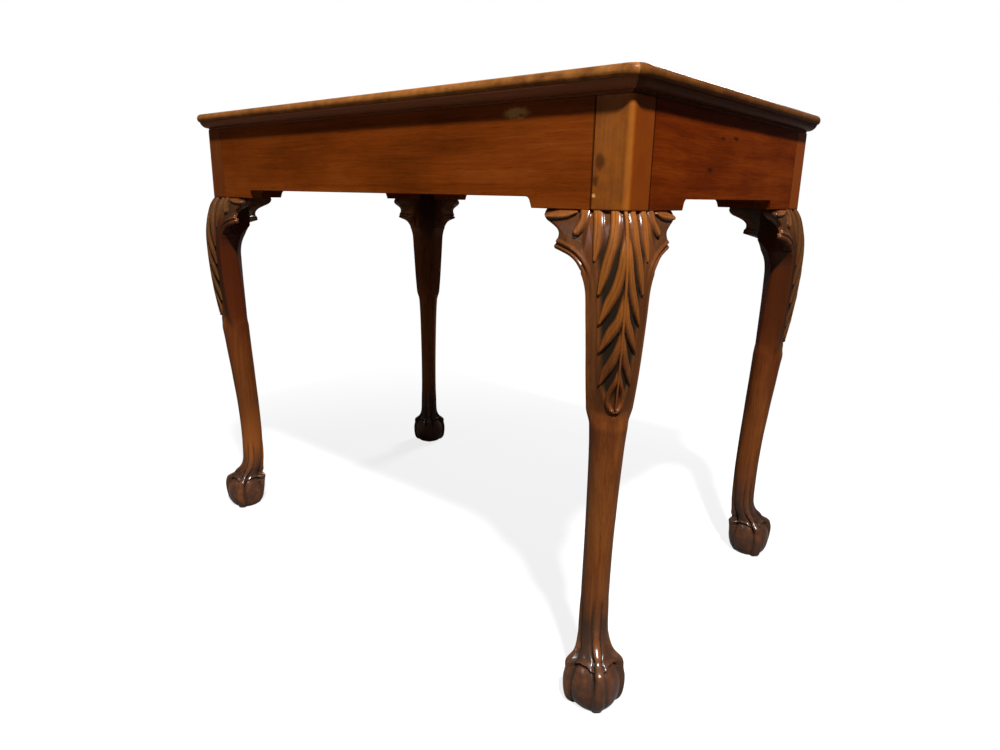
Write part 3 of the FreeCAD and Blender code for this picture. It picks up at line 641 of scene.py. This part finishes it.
# %% [markdown]
# ## Legs
# Each leg is one stick from the post to the foot. Above, it is a square post. Below the rails it swells into a
# knee that is sawn from two sides and carved with a leaf; then an oval shank tapers to the ankle and opens into
# four talons that hold a ball. All of this is a stack of rings with the same number of points, so that one skin
# covers it. The leg is drawn in a frame at the post's outer corner, with x and y inwards along the two rails.

# %% Lines of the leg
knee_height, knee_proud, upper_arc, lower_arc = 500, 13.1, 225.75, 1015.4
CROOK = [
    (430, 33), (455, 33.7), (470, 34.4), (483, 35), (493, 36), (500.6, 38), (508, 41), (513, 43.6),
    (517.6, 47.2), (521.6, 51.4), (525.2, 57.2), (527.7, 63), (529.4, 69), (531.2, 75.5), (532.6, 81),
]
crook = through(CROOK)


def fall(radius, reach):
    """How far an arc has left its tangent, at a reach along it."""
    return radius - np.sqrt(radius ** 2 - reach ** 2)


def proud(z):
    """How far the knee's two outer faces stand out from the post; at the very top they roll in under it."""
    above = np.asarray(z, float) - knee_height
    upper, lower = fall(upper_arc, np.clip(above, 0, 80)), fall(lower_arc, np.clip(-above, 0, 160))
    return knee_proud - upper - lower - 2.4 * np.clip((above - 56) / 17.5, 0, 1) ** 2


def inner_face(z):
    """Where the leg's inner faces lie, with the crook that runs into the brackets."""
    return np.minimum(crook(z), post_size)


def back_face(z):
    """Where the flat across the inner corner lies, measured along the diagonal."""
    z = np.asarray(z, float)
    flat = 37 + 3.5 * np.clip((475 - z) / 103, 0, 1) + fall(70, np.clip(z - 475, 0, 69.9))
    return np.minimum(flat, inner_face(z) * math.sqrt(2) - 0.6)


SHANK = [
    # height, the axis's distance in from the post's corner, half depth, half width
    (366, 14, 23.4, 22), (345, 14.5, 22.6, 20.7), (330, 15.4, 22, 19.7), (300, 17, 21.2, 18.5),
    (270, 18.8, 20.3, 17.7), (240, 20.3, 19.5, 17.1), (210, 21.9, 18.8, 16.6), (180, 23, 18.4, 16.4),
    (150, 23.7, 18.2, 16.4), (125, 23.8, 18.1, 16.5), (104, 23.7, 18.1, 16.8), (88, 22.9, 18.3, 17.2),
    (76, 20.6, 18.8, 17.8), (66, 16.8, 20, 19), (56, 12.8, 22, 21), (46, 10.6, 24, 24),
    (30, 9.8, 24, 24), (0, 9.8, 24, 24),
]
shank_inset, shank_depth, shank_width = (through([(row[0], row[i]) for row in SHANK]) for i in (1, 2, 3))
print("knee", proud([573.5, 500, 372]).round(2), "ankle inset", float(shank_inset(125)))

# %% [markdown]
# ### The carved leaf
# The leaf on the knee is a midrib on the corner with pointed leaflets that leave it downwards and outwards. Each
# leaflet is a line with a width: where a point is close to the line it is lifted to a flat-topped ridge with a
# shallow vein, and a leaflet rises slowly out of the midrib. The ground between is sunk into dark pockets, and a
# plain border is left along the outer edge, which runs up into the scroll on the bracket. Two small leaves hang
# on the bracket itself.

# %% Relief of knee and bracket
GROUND = -2.3
TIPS = through([
    (600, 43), (545, 40), (526, 36.5), (502, 33), (481, 30.5), (455, 28.5), (425, 25.5), (398, 21.5), (382, 14),
    (370, 8), (362, 0),
])
LEAFLETS = [
    # down the middle of each leaflet: distance from the corner, height, half width
    [(33, 577, 6.5), (35, 553, 6.8), (36.5, 539, 5.8), (38.5, 525, 2)],
    [(12, 577, 6.4), (15.5, 554, 6.6), (18.5, 540, 6.6), (23.5, 525, 6.4), (28, 509, 5.8), (32, 492, 2.2)],
    [(3, 560, 3.5), (5, 536, 5.2), (7.5, 516, 6.2), (13, 497, 6.8), (21.5, 479.5, 6.2), (29, 462, 2.2)],
    [(2.5, 500, 3), (6, 470, 5.6), (16.5, 451, 6.6), (26.3, 433, 2.2)],
    [(2, 460, 2.8), (5.5, 438, 4.8), (12, 421.5, 5.8), (18.5, 409.5, 5.2), (23, 397, 2)],
    [(1.5, 420, 2.2), (5, 402, 3.4), (10.5, 389, 3.4), (11.5, 378, 2.8), (7, 370.5, 2.4), (1.5, 368.5, 2)],
    [(0, 577, 3.8), (0, 520, 3), (0, 450, 2.8), (0, 372, 2)],
]
EAR_LEAVES = [
    # the same on the bracket, with the distance from the post's corner
    [(60, 571, 2), (69, 569, 4.6), (82, 568, 5.4), (95, 566.5, 3.2)],
    [(50, 576, 7.5), (47.5, 565, 6), (50, 557, 6), (53.5, 552, 5.6)],
]


def line_distance(x, z, line):
    """Distance to a bent line, and how far along the line its nearest point is."""
    best, place = np.full(np.shape(x), 1e9), np.zeros(np.shape(x))
    for number, (a, b) in enumerate(zip(line[:-1], line[1:])):
        way = b - a
        t = np.clip(((x - a[0]) * way[0] + (z - a[1]) * way[1]) / (way @ way), 0, 1)
        gap = np.hypot(x - a[0] - t * way[0], z - a[1] - t * way[1])
        place = np.where(gap < best, number + t, place)
        best = np.minimum(best, gap)
    return best, place


def closeness(x, z, points, steps=26):
    """1 on the middle line of a leaflet, falling evenly to 0 at its edge; it rises slowly out of the midrib."""
    fine = np.linspace(0, len(points) - 1, steps)
    line = np.column_stack([through(enumerate(column))(fine) for column in zip(*points)])
    gap, place = line_distance(x, z, line[:, :2])
    rise = 1 if points[0][1] > 570 else smooth(0, 0.3 * steps, place)
    return rise * (1 - np.clip(gap / np.interp(place, np.arange(steps), line[:, 2]), 0, 1))


def rounded(share):
    """The section of a leaflet: steep at the edge, nearly flat on top, with a shallow vein."""
    return (1 - (1 - share) ** 2.4) ** 0.6 - 0.16 * smooth(0.74, 1.0, share)


edge_line = np.array([(33.0, 320.0)] + [(float(crook(z)), z) for z in np.linspace(430, 532.6, 60)])


def leaf_relief(s, x, z):
    """Height of the carving over the sawn face, its dirt and painted shade, and its rubbed crowns with a painted
    highlight.

    s is the distance from the knee's corner, and x from the post's corner.
    """
    edge, _ = line_distance(x, z, edge_line)
    ear = smooth(40, 47, x)
    inside = smooth(TIPS(z) + 4.0, TIPS(z) - 4.0, s)
    ground = GROUND * inside - 0.6 * (1 - inside) * smooth(9, 13, edge) - 1.6 * ear * smooth(12, 20, edge)
    scroll = 1.2 * np.exp(-((edge - 3.4) / 1.9) ** 2) + 1.6 * np.exp(-((edge - 9.0) / 2.2) ** 2)
    scroll = smooth(505, 524, z) * (scroll - 1.2 * np.exp(-((edge - 6.2) / 1.2) ** 2))
    on_knee = np.max([closeness(s, z, points) for points in LEAFLETS], axis=0)
    on_ear = np.max([closeness(x, z, points) for points in EAR_LEAVES], axis=0)
    lift = np.maximum(rounded(on_knee) * 3.6, rounded(on_ear) * 4.2)
    height = np.maximum(ground + scroll, GROUND + lift) * smooth(357, 366, z)
    # pocket, flank and vein darken the recesses and the sides of the leaflets: dirt with painted shade
    pocket = inside * smooth(0.25, 0.0, on_knee) * smooth(374, 394, z) * (1 - 0.6 * smooth(532, 558, z))
    flank = 0.3 * inside * smooth(0.5, 0.1, on_knee) * smooth(360, 380, z)
    field = 0.10 + 0.50 * ear * smooth(0.5, 0.1, on_ear) * smooth(8, 14, edge)
    border = 0.42 * (1 - inside) * smooth(2.5, 7, edge) * smooth(545, 515, z) * smooth(0.4, 0.0, on_knee)
    vein = 0.4 * smooth(0.78, 0.98, on_knee) * smooth(566, 535, z) * smooth(1.5, 5, s)
    dirt = np.max([pocket, flank, vein, np.maximum(field, border) * smooth(350, 380, z)], axis=0)
    # crown lightens the tops of the leaflets: wear with a painted highlight
    crown = smooth(0.1, 0.7, np.maximum(on_knee * (0.25 + 0.75 * smooth(400, 520, z)), on_ear * 0.5))
    return height, dirt, crown


on_corner = leaf_relief(np.zeros(1), np.full(1, -knee_proud), np.full(1, float(knee_height)))
print("relief on the corner", [part.round(2) for part in on_corner])

# %% [markdown]
# ### Rings of the leg
# A knee ring is a five-cornered outline with rounded corners. A shank ring is an oval on the diagonal. A foot
# ring takes the larger of three radii: the skin between the talons, the ball, and the talons themselves. The ball
# is drawn in a little on its two outer sides, so that the foot stays within the CAD model's box.

# %% Rings of post, knee and shank
ARCS = (5, 15, 5, 3, 3)
EDGES = (62, 62, 14, 16, 14)
starts = np.cumsum([0] + [arc + edge for arc, edge in zip(ARCS, EDGES)])
middles = starts[:-1] + (np.array(ARCS) - 1) / 2
ring_size = int(starts[-1])
wrapped = np.append(middles - ring_size, np.append(middles, middles[0] + ring_size))
turns = (675, 585, 495, 435, 375, 315, 225, 135, 75, 15, -45)
ring_angles = np.radians(np.interp(np.arange(ring_size), wrapped, turns))


def rounded_ring(corners, cuts):
    """A ring round rounded corners, with a fixed number of points on each corner and edge."""
    corners = np.array(corners, float)
    pieces, arcs = [], []
    for i, corner in enumerate(corners):
        sides = [corners[i - 1] - corner, corners[(i + 1) % len(corners)] - corner]
        ends = [corner + side * min(cuts[i] / max(np.linalg.norm(side), 1e-6), 0.45) for side in sides]
        t = np.linspace(0, 1, ARCS[i])[:, None]
        arcs.append((1 - t) ** 2 * ends[0] + 2 * t * (1 - t) * corner + t * t * ends[1])
    for i, arc in enumerate(arcs):
        first, last = arc[-1], arcs[(i + 1) % len(arcs)][0]
        t = np.linspace(0, 1, EDGES[i] + 2)[1:-1, None]
        pieces += [arc, first + (last - first) * t]
    return np.vstack(pieces)


def level_ring(plan, z):
    """A ring in space from its plan and a height."""
    return np.insert(plan, 2, z, axis=1)


def post_plan(ease):
    """The square post, its outer corner rounded by wear."""
    low, high = ease, post_size - ease
    corners = [(high, low), (low, low), (low, high), (high * 0.97, high), (high, high * 0.97)]
    return rounded_ring(corners, (0.8, 7.0, 0.8, 0.5, 0.5))


def knee_plan(z):
    """The knee before carving: two outer faces, two inner faces and the flat between them."""
    k, a, d = float(proud(z)), float(inner_face(z)), float(back_face(z))
    flat = d * math.sqrt(2) - a
    arris = 1.4 - 1.1 * float(smooth(503, 513, z))
    return rounded_ring([(a, -k), (-k, -k), (-k, a), (flat, a), (a, flat)], (arris, knee_round, arris, 2.5, 2.5))


def oval_radius(z):
    """Radius of the oval shank at each point of a ring."""
    off = ring_angles - math.pi / 4
    return 1 / np.sqrt((np.cos(off) / shank_depth(z)) ** 2 + (np.sin(off) / shank_width(z)) ** 2)


def round_plan(radius, z):
    """Points at a radius about the leg's axis."""
    return shank_inset(z) + np.column_stack([radius * np.cos(ring_angles), radius * np.sin(ring_angles)])


knee_round = 6.0
print("ring", ring_size, "points")

# %% Rings of the foot
FRONT_OUT = through([
    (130, 16.5), (104, 18.2), (90, 19), (80, 20.2), (74, 22), (70, 24.2), (66.5, 25.8), (62.5, 26.4),
    (60, 28.2), (57.5, 32.2), (54.5, 35.2), (50, 36), (40, 36), (30, 35.2), (20, 33.6), (10, 30.6),
    (4, 27.8), (0, 25.5),
])
SIDE_OUT = through([
    (130, 15), (104, 16.4), (90, 17.4), (80, 18.6), (74, 19.8), (69, 21.2), (64, 23.4), (60, 26.6), (56, 31.2),
    (52.5, 34.4), (49, 35.4), (44, 35.2), (40, 35.8), (34, 37), (28, 37.3), (20, 37), (12, 36), (6, 34.2),
    (2, 31), (0, 28),
])
TALON_WIDE = through([
    (130, 4), (104, 4.8), (90, 5), (80, 5.2), (72, 5.8), (67, 5.9), (61.5, 4.4), (58, 5.6), (54.5, 6.8),
    (48, 6.9), (40, 7.3), (25, 7.6), (10, 7.5), (0, 7),
])
WEB = through([
    (95, 16.9), (85, 17.4), (78, 17.9), (72, 18.4), (67, 19.2), (62, 20.6), (58, 22.8), (55, 25.2), (52, 27.4),
    (48, 29),
])
BALL = through([
    (0, 24), (4, 28), (10, 31.3), (18, 33.2), (27, 33.8), (36, 32.8), (44, 29.8), (50, 26.4), (54, 23.2),
    (58, 19),
])


def soft_max(a, b, blend):
    """The larger of two values, rounded where they cross."""
    mix = np.clip(0.5 + (a - b) / (2 * blend), 0, 1)
    return b + (a - b) * mix + blend * mix * (1 - mix)


def foot_radius(z):
    """Radius round the foot at a height, the painted shade in its creases, between the talons and under the lip,
    and a painted highlight on the talons' crests.
    """
    shank = oval_radius(max(z, 70))
    off = np.abs(ring_angles % (math.pi / 2) - math.pi / 4)
    on_diagonal = np.abs(np.cos(ring_angles - math.pi / 4)) > math.sqrt(0.5)
    lip = 51.0 + 5.0 * smooth(0.15, 0.6, off)
    web = shank + (WEB(z) - shank) * smooth(95, 76, z) + 0.9 * np.exp(-((z - lip - 1.8) / 2.0) ** 2)
    under_lip = smooth(lip + 0.7, lip - 0.7, z)
    outer = np.maximum(-np.cos(ring_angles), -np.sin(ring_angles))
    ball = BALL(z) * (1 - 0.1 * smooth(0.75, 1.0, outer))
    base = web * (1 - under_lip) + ball * under_lip
    out = np.where(on_diagonal, FRONT_OUT(z), SIDE_OUT(z))
    out = np.maximum(out, shank + 0.8 * smooth(140, 112, z) if z > 70 else 0)
    wide = float(TALON_WIDE(z))
    lateral = out * np.sin(off) / wide
    square = 2.4 + 2.0 * float(smooth(48, 38, z))
    talon = np.where(lateral < 1, out - wide * 0.85 * (1 - np.sqrt(1 - np.clip(lateral, 0, 1) ** square)), 0)
    beside = np.exp(-((lateral - 1.25) / 0.35) ** 2)
    low = 0.5 + 0.5 * smooth(34, 52, z)
    groove = beside * (1.2 * smooth(138, 108, z) + 1.2 * low * smooth(78, 62, z)) * smooth(0, 10, z)
    # crease, valley and lip_line darken the creases, the webs and the line under the lip as painted shade; crest
    # lightens the talons' tops as a painted highlight
    crease = beside * (0.7 * smooth(140, 108, z) * smooth(62, 80, z) + 0.85 * low * smooth(80, 64, z))
    valley = 0.45 * smooth(1.0, 1.8, lateral) * smooth(125, 98, z) * smooth(lip + 1, lip + 6, z)
    lip_line = 0.9 * np.exp(-((z - lip + 1.4) / 2.2) ** 2) * (talon < base)
    crest = smooth(0.9, 0.3, lateral) * smooth(120, 90, z) * (0.10 + 0.14 * smooth(45, 60, z))
    return soft_max(base - groove, talon, 0.5), np.max([crease, valley, lip_line], axis=0), crest


print("foot radius at the floor", foot_radius(0.0)[0].max().round(2))

# %% One leg, top to bottom
knee_levels = np.concatenate([[573.4], np.arange(573, 366, -1.0), np.arange(366, 338, -1.5)])
plans = np.stack([knee_plan(max(z, 346.0)) for z in knee_levels])
face_size = int(starts[2]) + ARCS[2]
half = face_size // 2 + 1
corner_first = int(starts[1])
corner_span = slice(corner_first, corner_first + ARCS[1])
corner_share = np.abs(np.linspace(-1, 1, ARCS[1]))
level_grid = np.repeat(knee_levels[:, None], half, axis=1)
x_grid = plans[:, :half, 0]
s_grid = x_grid + proud(level_grid)
s_grid[:, corner_first:half] = knee_round * corner_share[:half - corner_first]
# the second value is dirt and painted shade, the third is wear and a painted highlight on the leaflets' crowns
carving, knee_dirt_and_shade, rubbed = (
    np.concatenate([part, part[:, -2::-1]], axis=1) for part in leaf_relief(s_grid, x_grid, level_grid)
)
outward = np.zeros((face_size, 2))
outward[:half, 1] = outward[half:, 0] = -1
bend_angle = np.linspace(0, math.pi / 2, ARCS[1])
outward[corner_span] = -np.column_stack([np.sin(bend_angle), np.cos(bend_angle)])
plans[:, :face_size] += outward * carving[..., None]

rings, hollow, wear_and_highlight = [], [], []


def add_ring(ring, deep=None, high=None):
    """One more ring, with the dirt and painted shade and the wear and painted highlight of each of its points."""
    rings.append(ring)
    for values, given_values in ((hollow, deep), (wear_and_highlight, high)):
        numbers = np.zeros(ring_size)
        if given_values is not None:
            numbers[:len(given_values)] = given_values
        values.append(numbers)


# wear and a painted highlight down the post's outer corner
corner_wear_and_highlight = np.zeros(ring_size)
corner_wear_and_highlight[corner_span] = 0.6 * np.sin(np.linspace(0, math.pi, ARCS[1]))
post_levels = (
    (frame_top, 0.5), (frame_top - 0.5, 0.0), (frame_top - 2, 0.0), (underside + 2, 0.0), (underside + 0.5, 0.0),
    (underside, 0.4),
)
for z, ease in post_levels:
    add_ring(level_ring(post_plan(ease), z), None, corner_wear_and_highlight)
for plan, deep, high, z in zip(plans, knee_dirt_and_shade, rubbed, knee_levels):
    oval = round_plan(oval_radius(min(z, 366)), min(z, 366))
    add_ring(level_ring(plan + (oval - plan) * smooth(367, 345, z), z), deep, high)
for z in np.arange(336, 146, -4.0):
    add_ring(level_ring(round_plan(oval_radius(z), z), z))
for z in np.concatenate([np.arange(144, 90, -2.0), np.arange(90, 0.2, -0.7), [0.0]]):
    radius, deep, high = foot_radius(z)
    add_ring(level_ring(round_plan(radius, z), z), deep, high)
leg_rings = np.stack(rings)
leg_values = {"hollow": np.concatenate(hollow), "wear_and_highlight": np.concatenate(wear_and_highlight)}
print("leg", leg_rings.shape[0], "rings")

# %% [markdown]
# ### Finish of the legs
# The legs are the same mahogany as the rails, but handled more. The post nearest to us has faded to gold, with its
# short side more orange, an old knot and a chip; the other posts are plain. The left and right legs are olive on
# the carving, with painted shade in dark red on the sides that look inwards, and the inner sides of all legs are
# painted near black under the rails as shade; the left leg's lower shank has painted light. The feet have darkened
# with floor polish, and what gloss is left sits on the feet and on the tops of the knees. The nearest leg's
# carving has the most wear and painted highlight.

# %% Finish of the legs
def inner_side(x, y):
    """1 on the sides of a leg that look into the table."""
    return (1 - abs(x).between(0.385, 0.402)) * (1 - abs(y).between(0.230, 0.247))


KNOT = [
    ((375, -254, 620), (8, 20, 11), 0.7, (44, 24, 10)),
    ((370.5, -254, 602), (5, 20, 7), 0.7, (44, 24, 10)),
    ((369, -254, 588), (3, 20, 2.5), 1, (186, 138, 78)),
]


def leg_marks(place, colour, rough):
    """Tones of the posts, the carving and the feet, the knot on the nearest post, painted shade on the legs' inner
    sides and painted light on the left leg's lower shank.
    """
    x, y, z = parted(place)
    to_front, to_right = 1 - y.between(-0.205, -0.200), x.between(0.340, 0.345)
    left, right = (1 - x.between(-0.345, -0.340)) * to_front, to_right * y.between(0.200, 0.205)
    post, short_side = z.between(0.5730, 0.5740), x.between(0.4078, 0.4088)
    golden = post * to_right * to_front
    mottled = place.noise(55.0, 4.0, 0.6).between(0.42, 0.62)
    low = (1 - z.between(0.06, 0.20)) * (1 - left * z.between(0.06, 0.11))
    painted_shade_inward = left * x.between(-0.398, -0.386) + right * (1 - y.between(0.231, 0.243)) * 0.75
    for share, tone in (
        ((post - golden) * 0.6, (88, 38, 8)),
        (golden * (0.3 + mottled * 0.4), (126, 69, 18)),
        (golden * short_side * 0.7, (102, 39, 1)),
        # painted light: the left leg's lower shank is lightened against its shade
        (left * (1 - z.between(0.10, 0.27)) * 0.55, (146, 82, 34)),
        (low * (0.9 - mottled * 0.35), (56, 37, 29)),
        # painted shade: the inner sides of the legs turn near black under the rails
        (inner_side(x, y) * z.between(0.46, 0.53) * 0.75, (14, 6, 2)),
        ((left + right) * z.between(0.33, 0.42) * (1 - post) * 0.6, (58, 38, 18)),
        # painted shade: dark red on the inward sides of the left and right legs
        (painted_shade_inward * z.between(0.24, 0.40) * (1 - z.between(0.53, 0.55)) * 0.75, (62, 18, 4)),
        (right * post * short_side * 0.6, (124, 56, 11)),
    ):
        colour = colour.tint(share, linear(*tone))
    return spotted(place, colour, KNOT), rough


def leg_polish(place):
    """Polish left on a leg: most on its foot and on the top of its knee, none on its post."""
    x, y, z = parted(place)
    foot = 1 - z.between(0.07, 0.13)
    knee = z.between(0.47, 0.55)
    bare = z.between(0.5730, 0.5740) + inner_side(x, y) * z.between(0.20, 0.30)
    return (0.15 + foot * 0.85 + knee * 0.55) * (1 - bare)


leg_tones = (60, 29, 11), (96, 50, 19), (128, 75, 33)
leg_finish = wood_finish("carved_mahogany", "Z", leg_tones, 0.30, 0.05, True, leg_marks, leg_polish)
print("finish", leg_finish.name)

# %% Four legs
CORNERS = {"front_left": 0, "front_right": 90, "back_right": 180, "back_left": 270}


def at_corner(rings, corner):
    """Points and faces of a skin, turned and moved to a corner of the frame."""
    way_x, way_y = 1 if "right" in corner else -1, 1 if "back" in corner else -1
    return skin(turned(rings, CORNERS[corner], (way_x * frame_length / 2, way_y * frame_depth / 2)))


for corner in CORNERS:
    points, faces = at_corner(leg_rings, corner)
    # the nearest leg keeps the full wear and painted highlight, the others less
    wear_and_highlight_share = 1.0 if corner == "front_right" else 0.3
    values = {"hollow": leg_values["hollow"], "wear_and_highlight": leg_values["wear_and_highlight"] * wear_and_highlight_share}
    add_piece(f"carved_leg_{corner}", points, faces, leg_finish, [f"leg_{corner}"], 50, values)
    print("leg", corner, len(points), "points")

# %% [markdown]
# ## Brackets
# A bracket is an ear under the rail beside each knee: two lobes on its outline, a crook below that carries the
# leg's curve up, a scroll along the crook and two small leaves. It is a stack of level rings, each going along
# the carved face, round the outline and back along the plain hidden side, which is bevelled to a thin edge.

# %% One bracket
EAR_REACH = through([
    (573.5, 101), (570, 101.8), (566, 101), (562, 97.2), (558, 89), (554, 82), (550, 78.6), (546.2, 77.9),
    (542.6, 78.8), (539.6, 80.3), (536.6, 81.8), (534.6, 82.2), (533.2, 81.7), (532.6, 81),
])
across_front, across_back, edge_roll = 78, 8, 2.0
ear_levels = np.concatenate([
    [573.5], np.linspace(573, 536, 62), np.linspace(535.7, 529, 30), np.linspace(528.6, 513.4, 34),
])
ear_tips = np.where(ear_levels > 532.6, EAR_REACH(ear_levels), crook(ear_levels))
ear_x = post_size + (ear_tips - post_size)[:, None] * np.linspace(0, 1, across_front) ** 0.9
ear_z = np.repeat(ear_levels[:, None], across_front, axis=1)
ear_carving, ear_dirt_and_shade, ear_wear_and_highlight = leaf_relief(ear_x + proud(ear_z), ear_x, ear_z)
thinned = knee_proud - (ear_x - post_size) / 54 * (knee_proud - 3)
from_crook = np.where(ear_z < 545, line_distance(ear_x, ear_z, edge_line)[0], 99)
ear_edge = np.minimum(ear_tips[:, None] - ear_x, from_crook)
rolled = fall(edge_roll, edge_roll - np.clip(ear_edge, 0, edge_roll))
ear_face = rolled - np.minimum(proud(ear_z), thinned) - ear_carving
ear_rings, backwards = [], np.linspace(0, 1, across_back)
for tip, xs, ys, z in zip(ear_tips, ear_x, ear_face, ear_levels):
    behind = max(20 - 24 * (underside - z) / 73.5, 0.5)
    thin = min(ys[-1] + 3 + (14 - ys[-1]) * float(smooth(543, 573.5, z)), behind)
    back = np.column_stack([
        np.linspace(tip, post_size, across_back), thin + (behind - thin) * smooth(0, 0.7, backwards),
    ])
    ear_rings.append(level_ring(np.vstack([np.column_stack([xs, ys]), back]), z))
ear_rings = np.stack(ear_rings)
plain = np.zeros((len(ear_levels), across_back))
ear_values = {
    "hollow": np.hstack([ear_dirt_and_shade, plain]).ravel(), "wear_and_highlight": np.hstack([ear_wear_and_highlight, plain]).ravel(),
}
print("bracket", ear_rings.shape[0], "rings")

# %% Eight brackets
for corner, turn in CORNERS.items():
    for run in ("long", "short"):
        swapped = (run == "long") != (turn in (0, 180))
        points, faces = at_corner(ear_rings[..., [1, 0, 2]] if swapped else ear_rings, corner)
        label = f"bracket_{corner}_{run}"
        add_piece(f"carved_{label}", points, faces, leg_finish, [label], 50, ear_values)
print("brackets", 2 * len(CORNERS))

# %% [markdown]
# ## Pieces that keep their CAD shape
# The board, the glue blocks and the screws are right as they are, and take better finishes: polished mahogany,
# bare softwood and dark iron.

# %% Finishes of the carried-over pieces
def board_marks(place, colour, rough):
    """The board's edge, hidden under the rim, is painted near black as shade in the gap under the rim."""
    x, y, _ = parted(place)
    edge = abs(x).between(0.3950, 0.3965).math("MAXIMUM", abs(y).between(0.2400, 0.2415))
    return colour.tint(edge * 0.95, linear(14, 8, 5)), rough


board_tones = (70, 34, 14), (124, 68, 30), (158, 96, 46)
board_finish = wood_finish("board_mahogany", "X", board_tones, 0.3, 0.14, marks=board_marks)
block_tones = (110, 84, 52), (150, 118, 76), (176, 146, 100)
block_finish = wood_finish("bare_softwood", "Z", block_tones, 0.6)
iron_finish, start = new_finish("dark_iron")
iron = iron_finish.node_tree.nodes["Principled BSDF"]
iron.inputs["Metallic"].default_value = 0.8
rust = start.node("ShaderNodeTexCoord", output="Object").noise(300.0, 4.0)
rust.ramp((0.4, linear(60, 56, 54)), (0.65, linear(92, 62, 44))).into(iron, "Base Color")
(rust * 0.3 + 0.45).into(iron, "Roughness")
kept = {"top_board": board_finish, "top_screws": iron_finish}
kept.update({f"glue_blocks_{side}": block_finish for side in SIDES})
for label, finish in kept.items():
    node_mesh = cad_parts[label].data
    node_mesh.materials.clear()
    node_mesh.materials.append(finish)
print("kept", sorted(kept))
